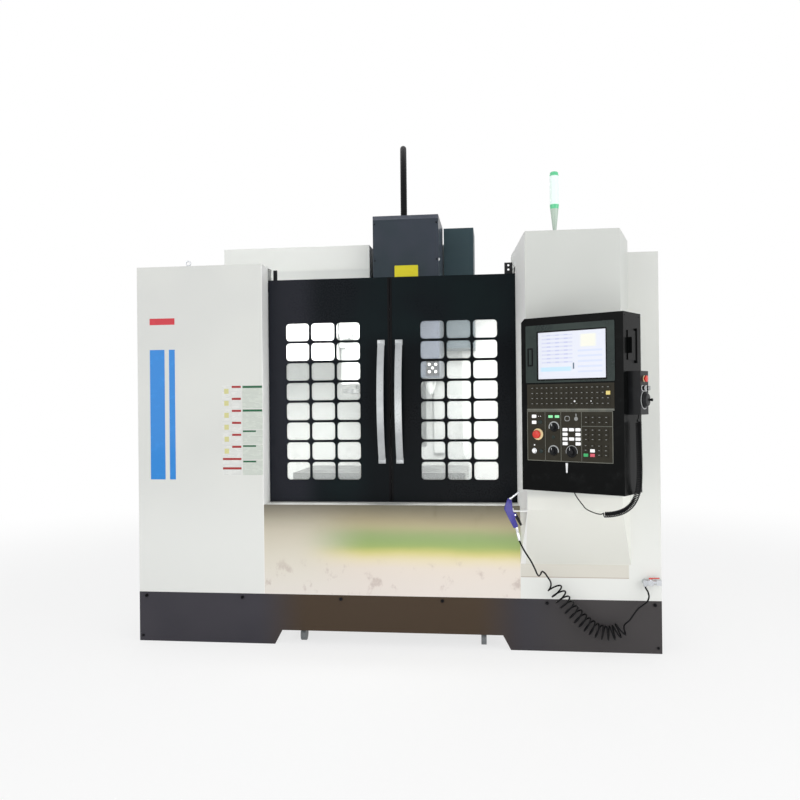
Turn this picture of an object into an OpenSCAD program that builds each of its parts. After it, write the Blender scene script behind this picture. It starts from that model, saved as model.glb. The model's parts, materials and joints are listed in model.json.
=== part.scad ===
// Vertical machining centre with two sliding doors of small window panes, a swivelling
// control pendant, scraped box ways and an arm type tool changer.
// X runs along the front, Y runs from front to back and Z is up, in millimetres.
// The origin lies on the floor, under the middle of the whole machine.

/* [Enclosure] */
// Width of the enclosure
machine_w = 2850; // [2800:10:3100]
// Depth from the front panels to the back of the base
machine_d = 2300; // [2300:10:2500]
// Height of the dark base skirt
base_h = 275; // [240:5:300]
// Sheet thickness of the base skirt
skirt_t = 6; // [4:0.5:8]
// Height of the front panels
panel_top = 2098; // [2080:2:2140]
// Sheet thickness of the panels
sheet = 4; // [3:0.5:5]
// Width of the notch under the front at the floor
notch_w = 1290; // [1000:10:1400]
// Height of the notch under the front
notch_h = 77; // [50:1:85]
// Height of the stainless front panel under the doors
trough_top = 767; // [760:1:780]
// Half of the width of the door opening
opening_half = 701; // [690:1:710]

/* [Doors] */
// Where the two doors meet
split_x = -6; // [-20:1:20]
// Front face of the doors behind the front panels
door_y = 128; // [124:1:132]
// Thickness of a door
door_t = 40; // [34:1:44]
// Top of the doors
door_top = 2024; // [2000:2:2040]
// Thickness of the folded door skin
door_skin = 4; // [3:0.5:6]
// Travel of a door
door_travel = 600; // [500:10:600]
// Distance from the split to the middle of a window field
field_x = 382; // [375:1:390]
// Middle height of the window field
field_z = 1334; // [1320:1:1350]
// Width of one window
window_w = 133; // [110:1:135]
// Height of one window
window_h = 100; // [80:1:102]
// Distance between window middles across
window_pitch_x = 145.5; // [144:0.5:148]
// Distance between window middles up
window_pitch_z = 111.8; // [110:0.2:113]
// Corner radius of a window
window_r = 20; // [8:1:30]
// Windows across one door
window_cols = 3; // [1:1:3]
// Windows up one door
window_rows = 8; // [2:1:8]
// Length of the bowed door handles
handle_l = 687; // [500:1:760]
// How far the handles bow out
handle_bow = 70; // [50:1:90]
// Width of the handle strap
handle_w = 38; // [25:1:45]
// Thickness of the handle strap
handle_t = 6; // [4:0.5:10]
// Distance of a handle from the split
handle_x = 50; // [40:1:70]

/* [Control tower] */
// Left edge of the tower front
tower_left = 727; // [720:1:735]
// Right edge of the tower front
tower_right = 1181; // [1170:1:1200]
// How far the tower stands out in front
tower_out = 337; // [320:1:345]
// Height of the tower roof
tower_top = 2157; // [2140:1:2200]
// Height at which the sloping foot of the tower starts
slope_top = 790; // [770:1:800]
// Height of the seam where the slope ends
slope_bottom = 460; // [440:1:500]

/* [Pendant] */
// Width of the pendant
pendant_w = 505; // [480:1:520]
// Depth of the pendant
pendant_d = 188; // [180:1:190]
// Height of the pendant
pendant_h = 800; // [790:1:830]
// Underside of the pendant above the floor
pendant_z = 909; // [900:1:930]
// How far the pendant is turned to the operator
pendant_turn = 32.1; // [25:0.1:34]
// Radius of the swivel pin
pin_r = 20; // [14:1:24]

/* [Slides] */
// Length of the table
table_l = 1100; // [1000:10:1200]
// Width of the table
table_w = 600; // [560:10:600]
// Height of the table top
table_top = 880; // [870:1:900]
// Place of the table along X in the modelled pose
table_x = -168; // [-200:1:0]
// Opening of a table slot
slot_w = 18; // [14:1:22]
// Distance between table slots
slot_pitch = 100; // [80:1:110]
// Number of table slots
slot_count = 5; // [3:1:5]
// Radius of the ball screws
screw_r = 20; // [16:1:24]
// Top of the bed ways
way_z = 520; // [516:1:524]
// Top of the saddle ways
saddle_top = 722; // [718:1:726]

/* [Head and spindle] */
// Spindle axis behind the front panels
spindle_y = 1010; // [1005:1:1015]
// Lower face of the spindle nose
nose_z = 1430; // [1425:1:1436]
// Radius of the spindle
spindle_r = 60; // [50:1:64]
// Half width of the head cover
cover_half = 215; // [210:1:219]
// Front of the head cover
cover_y = 895; // [880:1:905]
// Top of the head cover
cover_top = 2545; // [2500:5:2560]
// Outer diameter of the cable conduit
conduit_d = 45; // [38:1:48]

/* [Tool changer] */
// Number of tool pots
pot_count = 16; // [8:1:16]
// Radius of the pot circle
pot_circle = 230; // [220:1:240]
// Radius of a tool pot
pot_r = 40; // [30:1:42]
// Reach of the changer arm
arm_reach = 382; // [370:1:384]
// Thickness of the changer arm
arm_t = 30; // [20:1:34]

/* [Air hose] */
// Diameter of the air hose
hose_d = 8.5; // [6:0.5:12]
// Outer diameter of the coiled stretch
coil_d = 80; // [70:1:84]
// Outer diameter of the curly handwheel cord
curl_d = 28; // [22:1:30]
// Diameter of the handwheel cord itself
lead_d = 5; // [4:0.5:8]

/* [Hidden] */
$fn = 48;

// Running clearance on a radius and small gap beside a sliding face
fit = 0.05;
gap = 0.3;

// Places that follow from the sizes
half_w = machine_w / 2;
inner_half = half_w - 85;
pendant_x = 700;
pendant_y = -499;
front_most = pendant_y - pendant_w * sin(pendant_turn);
y_mid = (front_most + machine_d) / 2;
wall_top = panel_top - sheet;
wall_foot = 480;
tray_z = 420;
back_y = machine_d - 50;
column_y = spindle_y + 630;
column_back = back_y - 50;
column_d = column_back - column_y;
column_half = 330;
foot_half = 450;
column_top = 2490;
way_t = 40;
way_y = column_y - way_t;
bed_z = 90;
bed_half = 550;
bed_y = 420;
trough_right = 698.5;
sill_t = 12;
door_z = trough_top + 5;
field_w = (window_cols - 1) * window_pitch_x + window_w;
field_h = (window_rows - 1) * window_pitch_z + window_h;
rail_y = door_y + door_t + gap;
rail_top = door_top - 9;
tower_back = 336;
tower_side = half_w - 155;
saddle_half_x = 800;
saddle_half_y = 250;
bed_way = [200, 320];
saddle_way = [150, 240];
screw_x_z = 660;
screw_y_z = 440;
screw_z_y = column_y + 30;
cover_z = 1480;
cover_back = 1330;
head_z = 1500;
head_back = 1500;
arm_axis = [-350, (spindle_y + 1318) / 2];
arm_z = nose_z - 15 - arm_t;
disc_y = 1318;
disc_z = 1990;
house_x = [-1260, -480, -255];
house_y = 1000;
house_z = [1600, 1880, 2380];
cabinet_x = [560, half_w - 25];
cabinet_y = column_y + 110;
cabinet_top = 2050;
ear_at = [234.4, 228.5];
swivel = [pendant_x + ear_at[0] * cos(pendant_turn) + ear_at[1] * sin(pendant_turn),
    pendant_y - ear_at[0] * sin(pendant_turn) + ear_at[1] * cos(pendant_turn)];
estop_at = [86, 261];
feed_at = [168, 294];
rapid_at = [165, 185];
mode_at = [256, 184];
power_at = [66, 184];
hatch_y = [40, 130];
hatch_z = [590, 720];
hatch_pin = [pendant_w + 5, hatch_y[1] + 1];
mpg_y = 90;
trigger_pin = [668, 762];
conduit_front = [-37, 1150];
conduit_back = [-162, column_back + 43];
duct_x = [conduit_back[0] - 41, conduit_back[0] + 41];
valve_x = half_w - 88;
lever_x = valve_x + 26;
elbow_x = valve_x + 67;

// Points of the air hose and of the handwheel cord
hose_upper_route = [[687, -300, 634], [697, -299, 610], [716, -292, 574], [742, -268, 530],
    [763, -232, 484], [777, -186, 446], [788, -144, 428], [799, -108, 430], [808, -84, 438],
    [817, -67, 437], [823, -62, 427.6], [827.9, -62, 418.2]];
coil_route = [[828, -62, 418], [850, -62, 378], [880, -62, 334], [915, -62, 287], [953, -62, 241],
    [995, -62, 198], [1040, -62, 159], [1088, -62, 130], [1134, -62, 118], [1180, -62, 126],
    [1222, -62, 154], [1255, -62, 194]];
hose_lower_route = [[1255.2, -62, 194.2], [1262, -62, 202.5], [1277, -62, 226], [1296, -61, 250],
    [1320, -58, 268], [1342, -53, 285], [1352, -45, 308], [1348, -36, 332], [1339, -31, 348],
    [1337, -30, 358]];
curl_route = [[532, 90, 350.7], [532, 90, 290], [533, 91, 210], [534, 92, 120], [531, 92, 50],
    [521, 91, 0], [500, 90, -42], [468, 87, -72], [426, 84, -90], [380, 80, -98], [340, 77, -97]];
lead_route = [[340, 77, -97], [315, 74, -93], [292, 70, -80], [272, 65, -58], [254, 60, -34],
    [242, 56, -14], [237, 55, -0.3]];

// Placing and drawing helpers
module placed() translate([0, -y_mid, 0]) children();
module on_pendant() placed() translate([pendant_x, pendant_y, pendant_z])
    rotate([0, 0, -pendant_turn]) children();
module span(x, y, z) translate([x[0], y[0], z[0]])
    cube([x[1] - x[0], y[1] - y[0], z[1] - z[0]]);
module along_y(y) translate([0, y[1], 0]) rotate([90, 0, 0]) linear_extrude(y[1] - y[0]) children();
module along_x(x) translate([x[0], 0, 0]) rotate([90, 0, 90]) linear_extrude(x[1] - x[0]) children();
module rod_x(x, y, z, r) translate([x[0], y, z]) rotate([0, 90, 0]) cylinder(h = x[1] - x[0], r = r);
module rod_y(x, y, z, r) translate([x, y[1], z]) rotate([90, 0, 0]) cylinder(h = y[1] - y[0], r = r);
module rod_z(x, y, z, r) translate([x, y, z[0]]) cylinder(h = z[1] - z[0], r = r);
module both() { children(); mirror([1, 0, 0]) children(); }

// A round tube swept along a list of points
function unit(v) = v / norm(v);
function heading(p, i) = unit(p[min(i + 1, len(p) - 1)] - p[max(i - 1, 0)]);
function across(h) = unit(cross(h, abs(h[1]) > 0.9 ? [1, 0, 0] : [0, 1, 0]));
function ring_point(p, i, r, a) =
    let (h = heading(p, i), u = across(h), w = cross(h, u)) p[i] + r * (cos(a) * u + sin(a) * w);
module tube(p, d, sides) {
    n = len(p);
    points = [for (i = [0 : n - 1]) for (k = [0 : sides - 1]) ring_point(p, i, d / 2, 360 * k / sides)];
    walls = [for (i = [0 : n - 2]) for (k = [0 : sides - 1])
        let (a = i * sides + k, b = i * sides + (k + 1) % sides) [a, b, b + sides, a + sides]];
    first = [for (k = [sides - 1 : -1 : 0]) k];
    last = [for (k = [0 : sides - 1]) (n - 1) * sides + k];
    polyhedron(points, concat([first], walls, [last]));
}

// Base and castings
module base_skirt() color("#464246") placed() {
    notch_slope = 42;
    difference() {
        span([-half_w, half_w], [0, skirt_t], [0, base_h]);
        along_y([-1, skirt_t + 1]) polygon([
            [-notch_w / 2, -1], [notch_w / 2, -1],
            [notch_w / 2 - notch_slope, notch_h], [-notch_w / 2 + notch_slope, notch_h]]);
    }
    both() span([half_w - skirt_t, half_w], [skirt_t, machine_d - skirt_t], [0, base_h]);
    difference() {
        span([-half_w, half_w], [machine_d - skirt_t, machine_d], [0, base_h]);
        span([-450, 450], [machine_d - 2 * skirt_t, machine_d + 1], [-1, 110]);
    }
    span([-half_w + skirt_t, half_w - skirt_t], [back_y - 34, machine_d - skirt_t], [base_h - skirt_t, base_h]);
}

module bed() color("#5b5f63") placed() {
    screw_bore = screw_r + fit;
    rib_bays = [bed_y + 100 : 280 : column_back - 280];
    difference() {
        union() {
            span([-bed_half, bed_half], [bed_y, column_back], [bed_z, 380]);
            both() span(bed_way, [bed_y, column_y], [379, way_z]);
            span([-bed_half, bed_half], [column_y, column_back], [379, way_z]);
            span([-80, 80], [bed_y, bed_y + 30], [379, screw_y_z + 60]);
            span([-80, 80], [column_y - 40, column_y + 1], [379, screw_y_z + 60]);
        }
        rod_y(0, [bed_y - 1, column_y], screw_y_z, screw_bore);
        for (y = rib_bays) both() span([bed_half - 160, bed_half + 1], [y, y + 200], [150, 320]);
    }
}

module levelling_feet() color("#2e2e30") placed() {
    foot_y = [bed_y + 100, column_back - 120];
    for (x = [80 - bed_half, bed_half - 80], y = [foot_y[0], (foot_y[0] + foot_y[1]) / 2, foot_y[1]]) {
        rod_z(x, y, [0, 22], 65);
        rod_z(x, y, [22, bed_z], 18);
    }
}

module coolant_tank() color("#77797c") placed() {
    tank_x = 560;
    tank_y = [30, 390];
    tank_z = [90, 262];
    difference() {
        span([-tank_x, tank_x], tank_y, tank_z);
        span([-tank_x + 4, tank_x - 4], [tank_y[0] + 4, tank_y[1] - 4], [tank_z[0] + 4, tank_z[1] + 1]);
    }
    for (x = [-500, 500], y = [90, 330]) {
        rod_x([x - 14, x + 14], y, 36, 36);
        span([x - 14, x + 14], [y - 10, y + 10], [60, tank_z[0]]);
    }
}

module column_outline() polygon([
    [-foot_half, way_z], [foot_half, way_z], [foot_half, 700], [column_half, 950],
    [column_half, column_top], [-column_half, column_top], [-column_half, 950], [-foot_half, 700]]);

module column() color("#c9cbc8") placed() {
    screw_bore = screw_r + fit;
    channel = 60;
    difference() {
        union() {
            along_y([column_y, column_back]) column_outline();
            both() span([120, 200], [way_y, column_y + 1], [950, column_top - 10]);
        }
        span([-345, 345], [column_y - 1, column_back + 1], [way_z - 1, 640]);
        span([-channel, channel], [column_y - 1, column_y + 90], [990, column_top - 40]);
        rod_z(0, screw_z_y, [930, column_top + 1], screw_bore);
        for (z = [760, 1180, 1600, 2020])
            span([-240, 240], [column_y + 190, column_back + 1], [z, z + 360]);
        span(duct_x, [column_back - 70, column_back + 1], [2379, column_top + 1]);
    }
    for (x = [duct_x[0] - 4, duct_x[1]]) span([x, x + 4], [column_back, column_back + 86], [1500, column_top]);
    span([duct_x[0] - 4, duct_x[1] + 4], [column_back + 86, column_back + 90], [1500, column_top]);
}

module servo(l, w) {
    translate([0, 0, l * 0.04]) cylinder(h = l * 0.96, r = w * 0.46);
    translate([-w / 2, -w / 2, 0]) cube([w, w, l * 0.12]);
    translate([-w * 0.42, -w * 0.42, l * 0.1]) cube([w * 0.84, w * 0.84, l * 0.62]);
    translate([-w * 0.2, w * 0.3, l * 0.45]) cube([w * 0.4, w * 0.3, l * 0.2]);
}

module axis_motors() color("#2b2c2f") placed() {
    translate([0, bed_y, screw_y_z]) rotate([90, 0, 0]) servo(170, 120);
    translate([0, screw_z_y, column_top]) servo(205, 130);
}

// Enclosure
module left_front_panel() color("#d9dbdc") placed() {
    span([-half_w, -opening_half], [0, sheet], [base_h, panel_top]);
    span([-opening_half - sheet, -opening_half], [0, 120], [base_h, panel_top]);
    span([-half_w + sheet, -opening_half], [0, 206], [wall_top, panel_top]);
}

module right_front_panel() color("#d9dbdc") placed() {
    along_y([0, sheet]) polygon([
        [trough_right, base_h], [half_w, base_h], [half_w, panel_top], [tower_side, panel_top],
        [tower_side, slope_bottom], [trough_right, slope_bottom]]);
    span([tower_side, half_w - sheet], [0, 340], [wall_top, panel_top]);
}

module rear_enclosure() color("#d5d7d8") placed() {
    both() span([half_w - sheet, half_w], [sheet, back_y], [base_h, panel_top]);
    span([-half_w + sheet, -360], [back_y - sheet, back_y], [base_h, panel_top]);
    span([-360, cabinet_x[0] - 4], [back_y - sheet, back_y], [base_h, 900]);
    span([-half_w + sheet, -inner_half - sheet], [206, back_y - sheet], [wall_top, panel_top]);
    span([inner_half + sheet, half_w - sheet], [340, cabinet_y], [wall_top, panel_top]);
    span([-inner_half - sheet, -column_half], [column_y + sheet, back_y - sheet], [wall_top, panel_top]);
    span([column_half, half_w - sheet], [column_y + sheet, cabinet_y], [wall_top - sheet, wall_top]);
}

module trough_panel() color("#c8c9c2") placed() {
    span([-opening_half, trough_right], [0, 3], [base_h, trough_top]);
    span([-opening_half, trough_right], [3, 22], [base_h, base_h + 3]);
}

module splash_walls() color("#eceeee") placed() {
    tray_front = 660;
    front_left = 206;
    front_right = 340;
    both() span([inner_half, inner_half + sheet], [front_right, column_y + sheet], [wall_foot, wall_top]);
    span([-inner_half - sheet, -inner_half], [front_left, front_right], [wall_foot, wall_top]);
    difference() {
        span([-inner_half, inner_half], [column_y, column_y + sheet], [wall_foot + 40, wall_top - sheet]);
        along_y([column_y - 1, column_y + sheet + 1]) column_outline();
        span([-column_half, column_half], [column_y - 1, column_y + sheet + 1], [900, panel_top]);
    }
    span([-inner_half, -opening_half - sheet], [front_left, front_left + sheet], [640, wall_top]);
    span([705, inner_half], [front_right, front_right + sheet], [640, wall_top]);
    span([-inner_half, 680], [184, 188], [640, trough_top - sill_t]);
    difference() {
        both() along_y([30, column_y]) polygon([
            [inner_half, wall_foot + 86], [inner_half, wall_foot + 80],
            [bed_half + 10, tray_z], [bed_half + 10, tray_z + 6]]);
        span([-inner_half - 1, -tray_front], [29, front_left], [tray_z, wall_foot + 87]);
        span([tray_front, inner_half + 1], [29, front_right], [tray_z, wall_foot + 87]);
    }
    span([-333, 333], [3, 410], [596, 600]);
    both() span([329, 333], [3, 410], [530, 596]);
}

module door_rails() color("#34363a") placed() {
    rail_end = inner_half;
    sill_back = 188;
    wall_x = [for (y = [3, sill_back]) 699 - y / 12 - gap];
    span([-rail_end, rail_end - 30], [rail_y, rail_y + 30], [rail_top - 50, rail_top]);
    span([-rail_end + 30, rail_end - 30], [door_y + 12, door_y + 28], [trough_top, door_z - gap]);
    translate([0, 0, trough_top - sill_t]) linear_extrude(sill_t)
        polygon([[-opening_half, 3], [wall_x[0], 3], [wall_x[1], sill_back], [-opening_half, sill_back]]);
    difference() {
        span([632, 677], [rail_y + 30, rail_y + 35], [rail_top - 50, 2097]);
        for (z = [2058, 2082]) rod_y(654, [rail_y + 20, rail_y + 40], z, 6);
    }
    span([-691, -668], [rail_y + 30, rail_y + 35], [rail_top - 50, 2092]);
}

// Control tower, a folded shell that lets the right door slide through it
function tower_section(t) = [
    [671 + t, tower_back - t], [699 + t, 0], [tower_left + t, -tower_out + t],
    [tower_right - t * 0.7, -tower_out + t], [tower_side - t, 0 + t * 0.2], [tower_side - t, tower_back - t]];
function tower_profile(t) = [
    [-tower_out + t, slope_top], [-tower_out + t, tower_top - t], [tower_back - t, tower_top - t],
    [tower_back - t, slope_bottom + t], [0, slope_bottom + t]];
module tower_block(t) intersection() {
    translate([0, 0, slope_bottom]) linear_extrude(tower_top) polygon(tower_section(t));
    along_x([600, half_w]) polygon(tower_profile(t));
}
module control_tower() color("#cdceca") placed() {
    difference() {
        tower_block(0);
        tower_block(sheet);
        span([600, 1330], [118, 206], [trough_top - sill_t, door_top + 40]);
    }
    hook_z = 778;
    span([656, 699 + 300 / 12 + 1], [-312, -288], [hook_z, hook_z + 5]);
    span([656, 660], [-312, -288], [hook_z, hook_z + 16]);
}

module signal_lamp() color("#c8f0dc") placed() translate([884, -170, tower_top]) rotate_extrude()
    polygon([[0, 0], [14, 0], [14, 4], [6.5, 8], [22, 150], [23, 157], [23, 313], [21, 318],
        [21, 325], [17, 329], [0, 329]]);

module pendant_bracket() color("#2a2c2e") placed() {
    arm_z0 = pendant_z + 311;
    arm_h = 160;
    span([swivel[0] - 70, swivel[0] + 70], [-tower_out - 8, -tower_out], [arm_z0 - 60, arm_z0 + arm_h + 60]);
    span([swivel[0] - 28, swivel[0] + 28], [swivel[1], -tower_out - 8], [arm_z0, arm_z0 + arm_h]);
    rod_z(swivel[0], swivel[1], [arm_z0, arm_z0 + arm_h], 34);
    rod_z(swivel[0], swivel[1], [arm_z0 - 60, arm_z0 + arm_h + 60], pin_r);
}

// Tool changer
function house_outline(t) = [
    [house_x[0] + t, house_z[0] + (t > 0 ? -1 : 0)], [house_x[1] - t, house_z[0] + (t > 0 ? -1 : 0)],
    [house_x[1] - t, house_z[1] + t], [house_x[2] - t, house_z[1] + t],
    [house_x[2] - t, house_z[2] - t], [house_x[0] + t, house_z[2] - t]];
module magazine_housing() color("#e2e4e4") placed() {
    difference() {
        along_y([house_y, column_y]) polygon(house_outline(0));
        along_y([house_y + sheet, column_y - sheet]) polygon(house_outline(sheet));
    }
    difference() {
        rod_x([house_x[0] + sheet, -1060], disc_y, disc_z, 55);
        rod_x([-1160, -1059], disc_y, disc_z, 30 + fit);
    }
}

module changer_gearbox() color("#9ea3a5") placed() {
    box_x = [-470, -240];
    box_y = [arm_axis[1] - 130, arm_axis[1] + 130];
    difference() {
        span(box_x, box_y, [1450, house_z[1]]);
        rod_z(arm_axis[0], arm_axis[1], [1449, 1650], 35 + fit);
        span([box_x[0] - 1, box_x[0] + 40], [box_y[0] - 1, box_y[0] + 60], [1449, 1700]);
    }
    translate([box_x[0] + 60, box_y[0], 1790]) rotate([90, 0, 0]) servo(120, 90);
}

module magazine_disc() color("#8a8f93") placed() {
    disc_x = [-960, -930];
    pot_l = 150;
    rod_x([-1158, disc_x[0]], disc_y, disc_z, 30);
    difference() {
        union() {
            rod_x(disc_x, disc_y, disc_z, pot_circle + 22);
            for (i = [0 : pot_count - 1]) let (a = 360 * i / pot_count - 90)
                rod_x([disc_x[1] - 1, disc_x[1] + pot_l], disc_y + pot_circle * cos(a),
                    disc_z + pot_circle * sin(a), pot_r);
        }
        for (i = [0 : pot_count - 1]) let (a = 360 * i / pot_count - 90)
            rod_x([disc_x[1] + 30, disc_x[1] + pot_l + 1], disc_y + pot_circle * cos(a),
                disc_z + pot_circle * sin(a), 23);
        for (i = [0 : 5]) rod_x([disc_x[0] - 1, disc_x[1] + 1], disc_y + 110 * cos(60 * i),
            disc_z + 110 * sin(60 * i), 34);
    }
}

module changer_arm() color("#b9bdc0") placed() translate([arm_axis[0], arm_axis[1], arm_z]) {
    grip_r = 55;
    tool_r = 32;
    difference() {
        union() {
            cylinder(h = arm_t, r = 58);
            translate([-34, -arm_reach, 0]) cube([68, 2 * arm_reach, arm_t]);
            for (s = [-1, 1]) translate([0, s * arm_reach, 0]) cylinder(h = arm_t, r = grip_r);
        }
        for (s = [-1, 1]) {
            translate([0, s * arm_reach, -1]) cylinder(h = arm_t + 2, r = tool_r);
            translate([s > 0 ? -grip_r - 1 : 8, s * arm_reach - 22, -1]) cube([grip_r - 7, 44, arm_t + 2]);
        }
    }
    translate([0, 0, arm_t - 1]) cylinder(h = 200, r = 35);
}

// Electrical cabinet and service box
module cabinet_shell() color("#d3d5d5") placed() {
    x = cabinet_x;
    y1 = back_y - 24;
    difference() {
        span(x, [cabinet_y, y1], [base_h, cabinet_top]);
        span([x[0] + sheet, x[1] - sheet], [cabinet_y + sheet, y1 + 1], [base_h + 40, cabinet_top - sheet]);
    }
    span([x[0] + 40, x[1] - 40], [cabinet_y + sheet, cabinet_y + 10], [380, 1980]);
    for (i = [0 : 3]) span([x[0] + 90 + i * 120, x[0] + 190 + i * 120], [cabinet_y + 10, cabinet_y + 210],
        [1500, 1860]);
    span([x[1] - 240, x[1] - 50], [cabinet_y + 10, cabinet_y + 170], [1480, 1800]);
    span([x[1], half_w - sheet], [y1 - 30, y1 - 26], [base_h, cabinet_top]);
    for (i = [0 : (x[1] - x[0] - 220) / 62]) span([x[0] + 90 + i * 62, x[0] + 140 + i * 62],
        [cabinet_y + 10, cabinet_y + 95], [1160, 1260]);
    span([x[0] + 90, x[0] + 400], [cabinet_y + 10, cabinet_y + 230], [420, 700]);
    for (z = [520, 1150, 1780]) {
        rod_z(x[1] + 6, y1 + 14, [z, z + 30], 8);
        rod_z(x[1] + 6, y1 + 14, [z + 30, z + 60], 4);
        span([x[1] - 2, x[1] + 4], [y1 - 30, y1 + 14], [z, z + 30]);
    }
}

module cabinet_door() color("#d3d5d5") placed() {
    x = cabinet_x;
    y1 = back_y - 24;
    difference() {
        union() {
            span([x[0] + 2, x[1] - 3], [y1 + gap, y1 + 20], [base_h + 45, cabinet_top - 20]);
            for (z = [520, 1150, 1780]) {
                rod_z(x[1] + 6, y1 + 14, [z + 30 + gap, z + 62], 8);
                span([x[1] - 5, x[1] + 4], [y1 + 10, y1 + 18], [z + 30 + gap, z + 62]);
            }
        }
        for (z = [520, 1150, 1780]) rod_z(x[1] + 6, y1 + 14, [z + 29, z + 63], 4 + fit);
        rod_y(x[0] + 120, [y1 + 5, y1 + 21], 1500, 9 + fit);
        for (i = [0 : 9]) span([x[1] - 280, x[1] - 80], [y1 + 12, y1 + 21], [480 + i * 22, 490 + i * 22]);
    }
    span([x[0] + 40, x[0] + 58], [y1 + 20, y1 + 34], [1080, 1230]);
}

module main_switch() color("#c8281e") placed() translate([cabinet_x[0] + 120, back_y - 4, 1500])
    rotate([-90, 0, 0]) {
        translate([0, 0, gap]) cylinder(h = 12, r = 32);
        translate([-9, -36, 12]) cube([18, 72, 18]);
        translate([0, 0, -14]) cylinder(h = 15, r = 9);
    }

module service_box() color("#3c3e46") placed() {
    box_x = [cover_half + 7, cover_half + 215];
    box_y = [cover_back, column_y];
    box_z = [1700, cover_top - 3];
    difference() {
        span(box_x, box_y, box_z);
        span([box_x[0] + sheet, box_x[1] - sheet], [box_y[0] + sheet, box_y[1] - sheet],
            [box_z[0] + sheet, box_z[1] - sheet]);
    }
}

// Saddle, table and screws
module saddle() color("#6b7074") placed() {
    y = [spindle_y - saddle_half_y, spindle_y + saddle_half_y];
    screw_bore = screw_r + fit;
    difference() {
        union() {
            span([-saddle_half_x, saddle_half_x], y, [way_z + 40, saddle_top]);
            span([-340, 340], y, [way_z, way_z + 41]);
            span([-50, 50], [spindle_y - 40, spindle_y + 40], [400, way_z + 1]);
        }
        span([-saddle_half_x + 30, saddle_half_x - 30], [spindle_y - 110, spindle_y + 110],
            [600, saddle_top + 1]);
        rod_x([-saddle_half_x - 1, saddle_half_x + 1], spindle_y, screw_x_z, screw_bore);
        rod_y(0, [spindle_y - 41, spindle_y + 41], screw_y_z, screw_bore);
        both() span([370, saddle_half_x - 60], [y[0] - 1, y[0] + 60], [way_z + 70, way_z + 130]);
    }
    translate([saddle_half_x, spindle_y, screw_x_z]) rotate([0, 90, 0]) servo(160, 118);
    span([-341.6, 341.6], [y[0] - 300, y[0]], [604.6, 608.6]);
    both() span([337.6, 341.6], [y[0] - 300, y[0]], [530, 604.6]);
}

module table() color("#a6aaac") placed() {
    x = [table_x - table_l / 2, table_x + table_l / 2];
    plate = 80;
    neck = 30;
    difference() {
        union() {
            span(x, [spindle_y - table_w / 2, spindle_y + table_w / 2], [table_top - plate, table_top]);
            span([table_x - 300, table_x + 300], [spindle_y - saddle_way[1], spindle_y + saddle_way[1]],
                [saddle_top, table_top - plate + 1]);
            span([table_x - 60, table_x + 60], [spindle_y - 45, spindle_y + 45], [615, saddle_top + 1]);
        }
        for (i = [0 : slot_count - 1]) let (y = spindle_y + (i - (slot_count - 1) / 2) * slot_pitch) {
            span([x[0] - 1, x[1] + 1], [y - slot_w / 2, y + slot_w / 2], [table_top - neck, table_top + 1]);
            span([x[0] - 1, x[1] + 1], [y - slot_w * 0.83, y + slot_w * 0.83],
                [table_top - neck - 2, table_top - neck + 12]);
        }
        rod_x([table_x - 61, table_x + 61], spindle_y, screw_x_z, screw_r + fit);
    }
}

module front_way_cover() color("#b8bbbc") placed() {
    span([-337.3, 337.3], [225, 625], [600.3, 604.3]);
    both() span([333.3, 337.3], [225, 625], [530, 600.3]);
}

module rear_way_cover() color("#b8bbbc") placed() {
    y = [spindle_y + saddle_half_y, spindle_y + saddle_half_y + 680];
    span([-341, 341], y, [600, 604]);
    both() span([337, 341], y, [530, 600]);
}

module screw_x() color("#d0d2d3") placed()
    rod_x([-saddle_half_x + 2, saddle_half_x - gap], spindle_y, screw_x_z, screw_r);
module screw_y() color("#d0d2d3") placed() rod_y(0, [bed_y + gap, column_y - 2], screw_y_z, screw_r);
module screw_z() color("#d0d2d3") placed() rod_z(0, screw_z_y, [935, column_top - gap], screw_r);

// Head and spindle
module head_casting() color("#9a9ea0") placed() {
    difference() {
        union() {
            along_x([-190, 190]) polygon([
                [925, head_z], [925, 1800], [1380, 1800], [head_back, 2000], [head_back, 2200],
                [way_y, 2200], [way_y, head_z]]);
            span([-205, 205], [head_back, way_y], [head_z, 2200]);
            rod_z(0, spindle_y, [nose_z + 10, head_z + 1], 95);
            span([-45, 45], [way_y - 1, screw_z_y + 45], [1700, 1830]);
            rod_z(150, 975, [head_z - 60, head_z + 1], 34);
            translate([150, 975, head_z - 120]) cylinder(h = 61, r1 = 12, r2 = 34);
        }
        rod_z(0, spindle_y, [nose_z + 9, 1801], spindle_r + fit);
        rod_z(0, screw_z_y, [1699, 1831], screw_r + fit);
    }
}

module head_cover() color("#42444f") placed() {
    y = [cover_y, cover_back];
    difference() {
        span([-cover_half, cover_half], y, [cover_z, cover_top]);
        span([-cover_half + sheet, cover_half - sheet], [y[0] + sheet, y[1] + 1], [cover_z - 1, cover_top - sheet]);
    }
    both() span([190, cover_half - sheet], [y[1] - sheet, y[1]], [cover_z, 1800]);
}

module spindle_motor() color("#33363a") placed() {
    rod_z(0, spindle_y, [1800, 2000], 80);
    span([-95, 95], [spindle_y - 95, spindle_y + 95], [2000, 2400]);
    rod_z(0, spindle_y, [2400, 2440], 85);
    span([-40, 40], [spindle_y + 95, spindle_y + 130], [2250, 2330]);
}

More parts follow.
